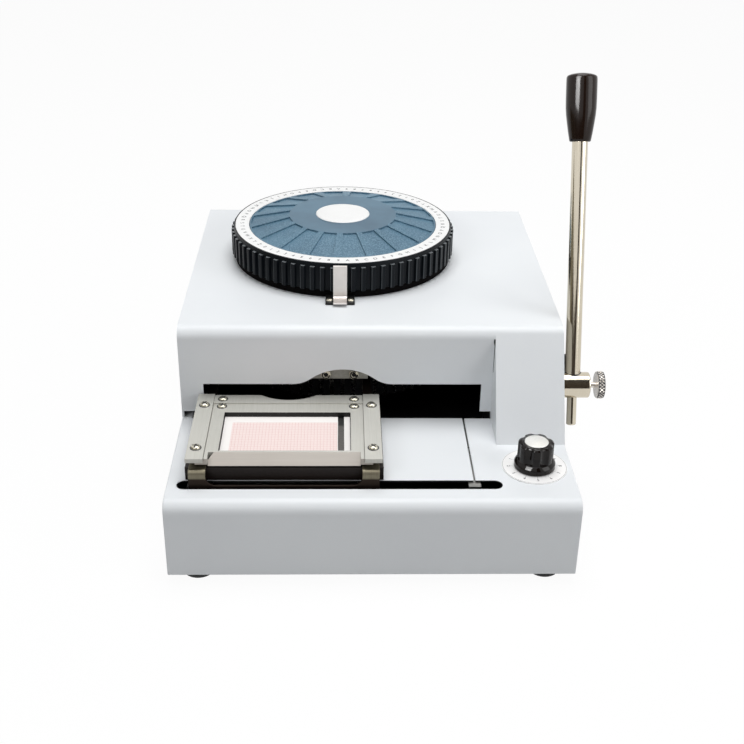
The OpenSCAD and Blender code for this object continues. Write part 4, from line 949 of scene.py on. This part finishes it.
def makeKnurl(start, end, radius):
    # rows of small pyramids round the head, every second row set half a step on
    rows, count, deep, share = (thumbShape[k] for k in ("rows", "count", "deep", "share"))
    step = (end - start) / rows
    half, tall = share * math.pi * radius / count, share * step
    pyramid = bpy.data.meshes.new("pyramid")
    corners = [(0, -half, 0), (0, 0, -tall), (0, half, 0), (0, 0, tall), (deep, 0, 0)]
    pyramid.from_pydata(corners, [], [(0, 1, 4), (1, 2, 4), (2, 3, 4), (3, 0, 4), (3, 2, 1, 0)])
    bands = []
    for row in range(1, rows):
        band = roundAxis(pyramid.copy(), count, radius, finishes["nickel"], (row % 2) * math.pi / count)
        band.transform(Matrix.Translation((0, 0, start + row * step)))
        bands.append(band)
    return joined(bands)


headLow, headHigh, _ = boxMm("thumb_screw")
headEnd, headR, neckR, rim = headHigh.x, thumbShape["radius"], thumbShape["neck"], thumbShape["edge"]
headStart, spare = headEnd - thumbShape["thick"], thumbShape["margin"]
screwOutline = [(0, headLow.x), (neckR, headLow.x), (neckR, headStart), (headR - rim, headStart),
                (headR, headStart + rim), (headR, headEnd - rim), (headR - rim, headEnd), (0, headEnd)]
headBody = smoothed(lathe(screwOutline, thumbShape["steps"]))


# painted shade: the ground between the knurl's pyramids is dark
def isKnurlGround(face):
    isOutside = face.center.to_2d().length > headR - thumbShape["band"]
    return isOutside and abs(face.normal.z) < thumbShape["steep"]


paintFaces(headBody, 1, isKnurlGround)
knurlMesh = makeKnurl(headStart + spare, headEnd - spare, headR - thumbShape["sunk"])
addPiece("thumbScrew", inFrame(joined([headBody, knurlMesh]), leverPlace @ alongX), "clamp",
         [finishes["knurlSteel"], finishes["darkInkAndShade"]], ["thumb_screw"])

stopLook = {"edge": [(0, -1.4), (-0.3, -0.6), (-1.1, 0)], "dish": 0.5, "dishShare": (0.5, 0.42),
            "steps": 48}
stopLow, stopHigh, stopCentre = boxMm("lever_stop")
stopR, stopT = (stopHigh.z - stopLow.z) / 2, stopHigh.x - stopLow.x
outer, inner = (stopR * share for share in stopLook["dishShare"])
stopOutline = [(0, 0), (stopR, 0)] + corner(stopR, stopT, stopLook["edge"])
stopOutline += [(outer, stopT), (inner, stopT - stopLook["dish"]), (0, stopT - stopLook["dish"])]
stopPlace = Matrix.Translation((stopLow.x, stopCentre.y, stopCentre.z)) @ alongX
addTurned("stopButton", stopOutline, stopLook["steps"], stopPlace, "frame", "rubber",
          "lever_stop")
print("lever done")


# spacing knob on its white scale plate

knobShape = {"lobes": 7, "lobeSteps": 36, "start": 8.0, "hollow": 5.5, "deep": 1.35, "blend": 0.7,
             "blendDrop": 0.35, "bottom": 12.2, "top": 12.0, "rim": 0.5, "lift": 0.3,
             "levels": (2.0, 4.0, 8.0),
             "shoulder": [(0, -1.4), (-0.03, -1.26), (-0.2, -0.91), (-1.1, -0.28), (-1.4, 0)],
             "skirt": 13.85, "skirtFoot": [(-0.4, 0), (0, 0.4)], "skirtWall": 3.3, "skirtTop": 6.0,
             "skirtBend": [(0, -0.4), (0, 0), (-0.12, 0.35), (-0.3, 0.65)],
             "skirtEdge": [(-1.5, -0.3), (-1.8, -0.08), (-2.4, 0)], "stem": 3.0, "stemDown": 18.0,
             "stemUp": 1.0, "cam": 8.0, "camThick": 5.0, "camOff": 2.5,
             "discEdge": [(0, -0.45), (-0.35, -0.1), (-0.8, 0)], "steps": 96, "stemSteps": 32,
             "camSteps": 48}
scaleLook = {"edge": 0.15, "lineInset": 0.4, "lineWide": 0.3, "inkSunk": 0.01, "ticks": 12, "tickLong": 1.6,
             "tickWide": 0.24, "tickRadius": 15.2, "numberSize": 3.2, "numberRadius": 17.6, "steps": 128}
knobLow, knobHigh, knobCentre = boxMm("knob_cap")
scaleLow, scaleHigh, _ = boxMm("scale_plate")
knobBase, knobTop, inkFloor = scaleHigh.z + knobShape["lift"], knobLow.z, scaleHigh.z
knobPlace = Matrix.Translation((knobCentre.x, knobCentre.y, 0))


def lobeRadius(angle, radius):
    # round section with shallow hollows between broad lobes
    pitch = 360 / knobShape["lobes"]
    off = math.radians((angle - knobShape["start"]) % pitch - pitch / 2)
    far = radius + knobShape["hollow"] - knobShape["deep"]
    inside = knobShape["hollow"] ** 2 - (far * math.sin(off)) ** 2
    cut = far * math.cos(off) - math.sqrt(inside) if inside > 0 else radius + knobShape["blend"]
    blend = max(0.0, min(1.0, 0.5 + (cut - radius) / knobShape["blend"]))
    return cut * (1 - blend) + radius * blend - knobShape["blendDrop"] * blend * (1 - blend)


def makeKnobBody():
    steps, height = knobShape["lobes"] * knobShape["lobeSteps"], knobTop - knobBase + knobShape["rim"]
    levels = [(0, z) for z in knobShape["levels"]] + corner(0, height, knobShape["shoulder"])
    shape = bmesh.new()
    rings = []
    for out, z in levels:
        radius = knobShape["bottom"] + (knobShape["top"] - knobShape["bottom"]) * z / height
        ring = []
        for i, (x, y) in enumerate(roundPoints(1.0, steps)):
            r = lobeRadius(360 * i / steps, radius) + out
            ring.append(shape.verts.new((r * x, r * y, knobBase + z)))
        rings.append(ring)
    shape.faces.new(rings[-1])
    shape.faces.new(rings[0])
    skin(shape, rings)
    return smoothed(meshOf(shape, "knobBody"), angle=50)


skirtR, skirtWall, skirtTop = knobShape["skirt"], knobShape["skirtWall"], knobShape["skirtTop"]
skirtOutline = [(0, knobBase)] + corner(skirtR, knobBase, knobShape["skirtFoot"])
skirtOutline += corner(skirtR, knobBase + skirtWall, knobShape["skirtBend"])
skirtOutline += corner(skirtR, knobBase + skirtTop, knobShape["skirtEdge"]) + [(0, knobBase + skirtTop)]
skirtMesh = smoothed(lathe(skirtOutline, knobShape["steps"]), angle=40)
stemR, stemFoot, camR = knobShape["stem"], knobBase - knobShape["stemDown"], knobShape["cam"]
stemTop, camTop = knobBase + knobShape["stemUp"], stemFoot + knobShape["camThick"]
stemOutline = [(0, stemFoot), (stemR, stemFoot), (stemR, stemTop), (0, stemTop)]
camOutline = [(0, stemFoot), (camR, stemFoot), (camR, camTop), (0, camTop)]
stemMesh, camMesh = lathe(stemOutline, knobShape["stemSteps"]), lathe(camOutline, knobShape["camSteps"])
camMesh.transform(Matrix.Translation((knobShape["camOff"], 0, 0)))
knobMesh = joined([makeKnobBody(), skirtMesh, smoothed(stemMesh), smoothed(camMesh)])
addPiece("knobBody", inFrame(knobMesh, knobPlace), "knob", [finishes["knobPlastic"]],
         ["spacing_knob"])
discR, discTop = (knobHigh.x - knobLow.x) / 2, knobHigh.z
discOutline = [(0, knobTop), (discR, knobTop)] + corner(discR, discTop, knobShape["discEdge"])
discOutline.append((0, discTop))
addTurned("knobCap", discOutline, knobShape["steps"], knobPlace, "knob", "capSteel", "knob_cap")
addEased("scaleDisc", "scale_plate", "frame", "scaleWhite", scaleLook["edge"])
lineOut = (scaleHigh.x - scaleLow.x) / 2 - scaleLook["lineInset"]
lineIn = lineOut - scaleLook["lineWide"]
inkLow, inkHigh = inkFloor - scaleLook["inkSunk"], inkFloor + inkLift
lineOutline = [(lineIn, inkLow), (lineOut, inkLow), (lineOut, inkHigh), (lineIn, inkHigh)]
long, wide = scaleLook["tickLong"] / 2, scaleLook["tickWide"] / 2
tick = prism([(-long, -wide), (long, -wide), (long, wide), (-long, wide)], inkLow, inkHigh)
ticks = scaleLook["ticks"]
tickMesh = roundAxis(tick, ticks, scaleLook["tickRadius"], finishes["greyInk"])
lineMesh = joined([lathe(lineOutline, scaleLook["steps"], isRing=True), tickMesh])
addPiece("scaleLines", inFrame(lineMesh, knobPlace), "frame", [finishes["greyInk"]])
numberMesh = glyphRing([str(i) for i in range(ticks - 1)], scaleLook["numberSize"],
                       scaleLook["numberRadius"], inkFloor, 2 * math.pi / ticks - math.pi, ticks)
addPiece("scaleNumbers", inFrame(numberMesh, knobPlace), "frame", [finishes["darkInkAndShade"]])
print("knob done")

for part in (screwPart, screwShadePart):
    bpy.data.objects.remove(part)


# pieces inside the casing keep their solids and take a finish

insideFinish = {
    "frameSteel": ["top_plate", "inner_cheek", "outer_cheek", "cheek_bridge", "wheel_pedestal",
                   "rod_brackets", "upper_yoke", "upper_beam", "lower_yoke", "lower_beam", "bottom_plate",
                   "upper_type_wheel", "lower_type_wheel"],
    "groundSteel": ["frame_posts", "press_columns", "front_guide_rod", "rear_guide_rod", "dial_shaft",
                    "punches", "dies", "lever_shaft", "upper_eccentric", "lower_eccentric", "upper_ram",
                    "lower_ram", "feed_rack", "deck_strips"],
    "blackSteel": ["guide_arms"],
    "trayGrey": ["card_tray"],
    "bronze": ["bearing_bushes"],
}
for finish, members in insideFinish.items():
    for member in members:
        nodes[member].data.materials.clear()
        nodes[member].data.materials.append(finishes[finish])
print("inside done")


# stage: white floor that keeps the shadow, soft lamps, and cards for the metal to mirror

stageLook = {
    "ambient": 0.18, "ambientTint": (0.96, 0.98, 1.0, 1), "floorWhite": 0.45, "shadowKept": 0.05,
    "matt": 0.9, "floorSize": 6.0, "streakOn": ("leverGrip", "knobBody"),
    "lamps": {  # watts, size, place and what it points at
        "topSoftbox": (15.5, (1.0, 0.8), (0.05, 0.1, 1.5), (0, 0, 0)),
        "leftSoftbox": (2.4, (0.45, 0.18), (-0.62, -0.95, 0.85), (0.05, -0.05, 0.15)),
        "rightSoftbox": (10.0, (1.0, 1.2), (1.5, -0.8, 0.9), (0, 0, 0.12)),
        "streakSoftbox": (46.0, (0.8, 1.1), (-0.8, -1.0, 1.1), (0.15, -0.05, 0.2)),
    },
    "darkY": -1.15,
    "darkOutline": [(-0.4, 0), (0.6, 0), (0.62, 1.2), (0.9, 2.1), (1.3, 3.6), (0.6, 3.6), (0.35, 2.1),
                    (0.2, 1.2), (0.2, 0.46), (-0.4, 0.4)],
    "darkSide": [(-0.55, -0.45, 0), (-0.4, -1.15, 0), (-0.4, -1.15, 0.4), (-0.55, -0.45, 0.3)],
    "olive": [(-0.55, 0.1, 0), (-0.55, -0.45, 0), (-0.55, -0.45, 0.3), (-0.55, 0.1, 0.24)],
}


def shownMask(tree):
    # what the camera and mirror-like surfaces see
    path = tree.nodes.new("ShaderNodeLightPath")
    seen = mathNode(tree, "MAXIMUM", path.outputs["Is Camera Ray"], path.outputs["Is Glossy Ray"])
    return mathNode(tree, "MAXIMUM", seen, path.outputs["Is Transmission Ray"])


def addStage(name, finish, corners):
    mesh = bpy.data.meshes.new(name)
    mesh.from_pydata(corners, [], [tuple(range(len(corners)))])
    mesh.materials.append(finish)
    panel = carry(mesh)
    panel.name = name
    return panel


def makeFloorWhite():
    finish, tree, shader = newFinish("floorWhite")
    level = rangeNode(tree, shownMask(tree), 0.0, 1.0, stageLook["floorWhite"], 1.0)
    tree.links.new(level, shader.inputs["Base Color"])
    shader.inputs["Roughness"].default_value = stageLook["matt"]
    glow = tree.nodes.new("ShaderNodeEmission")
    mix = tree.nodes.new("ShaderNodeMixShader")
    tree.links.new(mathNode(tree, "MULTIPLY", shownMask(tree), 1 - stageLook["shadowKept"]), mix.inputs[0])
    tree.links.new(shader.outputs[0], mix.inputs[1])
    tree.links.new(glow.outputs[0], mix.inputs[2])
    tree.links.new(mix.outputs[0], tree.nodes["Material Output"].inputs["Surface"])
    return finish


far = stageLook["floorSize"]
addStage("floor", makeFloorWhite(), [(-far, -far, 0), (far, -far, 0), (far, far, 0), (-far, far, 0)])

world = bpy.data.worlds.new("studio")
bpy.context.scene.world = world
world.use_nodes = True
worldTree = world.node_tree
ambient = worldTree.nodes["Background"]
ambient.inputs["Color"].default_value = stageLook["ambientTint"]
ambient.inputs["Strength"].default_value = stageLook["ambient"]
shown = worldTree.nodes.new("ShaderNodeBackground")
shown.inputs["Color"].default_value = (1, 1, 1, 1)
worldMix = worldTree.nodes.new("ShaderNodeMixShader")
worldTree.links.new(shownMask(worldTree), worldMix.inputs[0])
worldTree.links.new(ambient.outputs[0], worldMix.inputs[1])
worldTree.links.new(shown.outputs[0], worldMix.inputs[2])
worldTree.links.new(worldMix.outputs[0], worldTree.nodes["World Output"].inputs["Surface"])


def addLamp(name, power, size, place, target):
    lamp = bpy.data.lights.new(name, "AREA")
    lamp.energy = power
    lamp.shape = "RECTANGLE"
    lamp.size, lamp.size_y = size
    lampObject = bpy.data.objects.new(name, lamp)
    bpy.context.scene.collection.objects.link(lampObject)
    lampObject.location = place
    lampObject.rotation_euler = (Vector(target) - Vector(place)).to_track_quat("-Z", "Y").to_euler()
    return lampObject


lamps = {name: addLamp(name, *values) for name, values in stageLook["lamps"].items()}
# the streak lamp shows in the gloss of the black grip and knob and lights nothing else
streakLit = bpy.data.collections.new("streakLit")
for name in stageLook["streakOn"]:
    streakLit.objects.link(bpy.data.objects[name])
lamps["streakSoftbox"].light_linking.receiver_collection = streakLit
lamps["streakSoftbox"].visible_diffuse = False


def addCard(name, colour, corners):
    # upright panel that only mirror-like surfaces see
    finish, _, shader = newFinish(name)
    shader.inputs["Base Color"].default_value = colour
    shader.inputs["Roughness"].default_value = stageLook["matt"]
    card = addStage(name, finish, corners)
    card.visible_camera = card.visible_diffuse = card.visible_shadow = False


addCard("darkCard", srgb(62, 52, 42), [(x, stageLook["darkY"], z) for x, z in stageLook["darkOutline"]])
addCard("darkSideCard", srgb(74, 64, 52), stageLook["darkSide"])
addCard("oliveCard", srgb(150, 144, 124), stageLook["olive"])


# camera at the photograph's angle, for a 744 by 744 picture

cameraLook = {"place": (-0.03829, -0.78564, 0.48400), "lens": 55.87, "sensor": 36.0,
              "pitch": 28.035, "yaw": -1.8523, "roll": 0.99243}
yaw, pitch, roll = (math.radians(cameraLook[k]) for k in ("yaw", "pitch", "roll"))
right = Vector((math.cos(yaw), math.sin(yaw), 0))
ahead = Vector((-math.sin(yaw), math.cos(yaw), 0))
look = math.cos(pitch) * ahead - math.sin(pitch) * Vector((0, 0, 1))
over = math.sin(pitch) * ahead + math.cos(pitch) * Vector((0, 0, 1))
side = math.cos(roll) * right + math.sin(roll) * over
over = -math.sin(roll) * right + math.cos(roll) * over
camera = bpy.data.cameras.new("camera")
camera.lens = cameraLook["lens"]
camera.sensor_width = cameraLook["sensor"]
cameraObject = bpy.data.objects.new("camera", camera)
bpy.context.scene.collection.objects.link(cameraObject)
turned = Matrix((side, over, -look)).transposed().to_4x4()
cameraObject.matrix_world = Matrix.Translation(cameraLook["place"]) @ turned
bpy.context.scene.camera = cameraObject
bpy.context.scene.view_settings.view_transform = "Standard"

print("stage done")
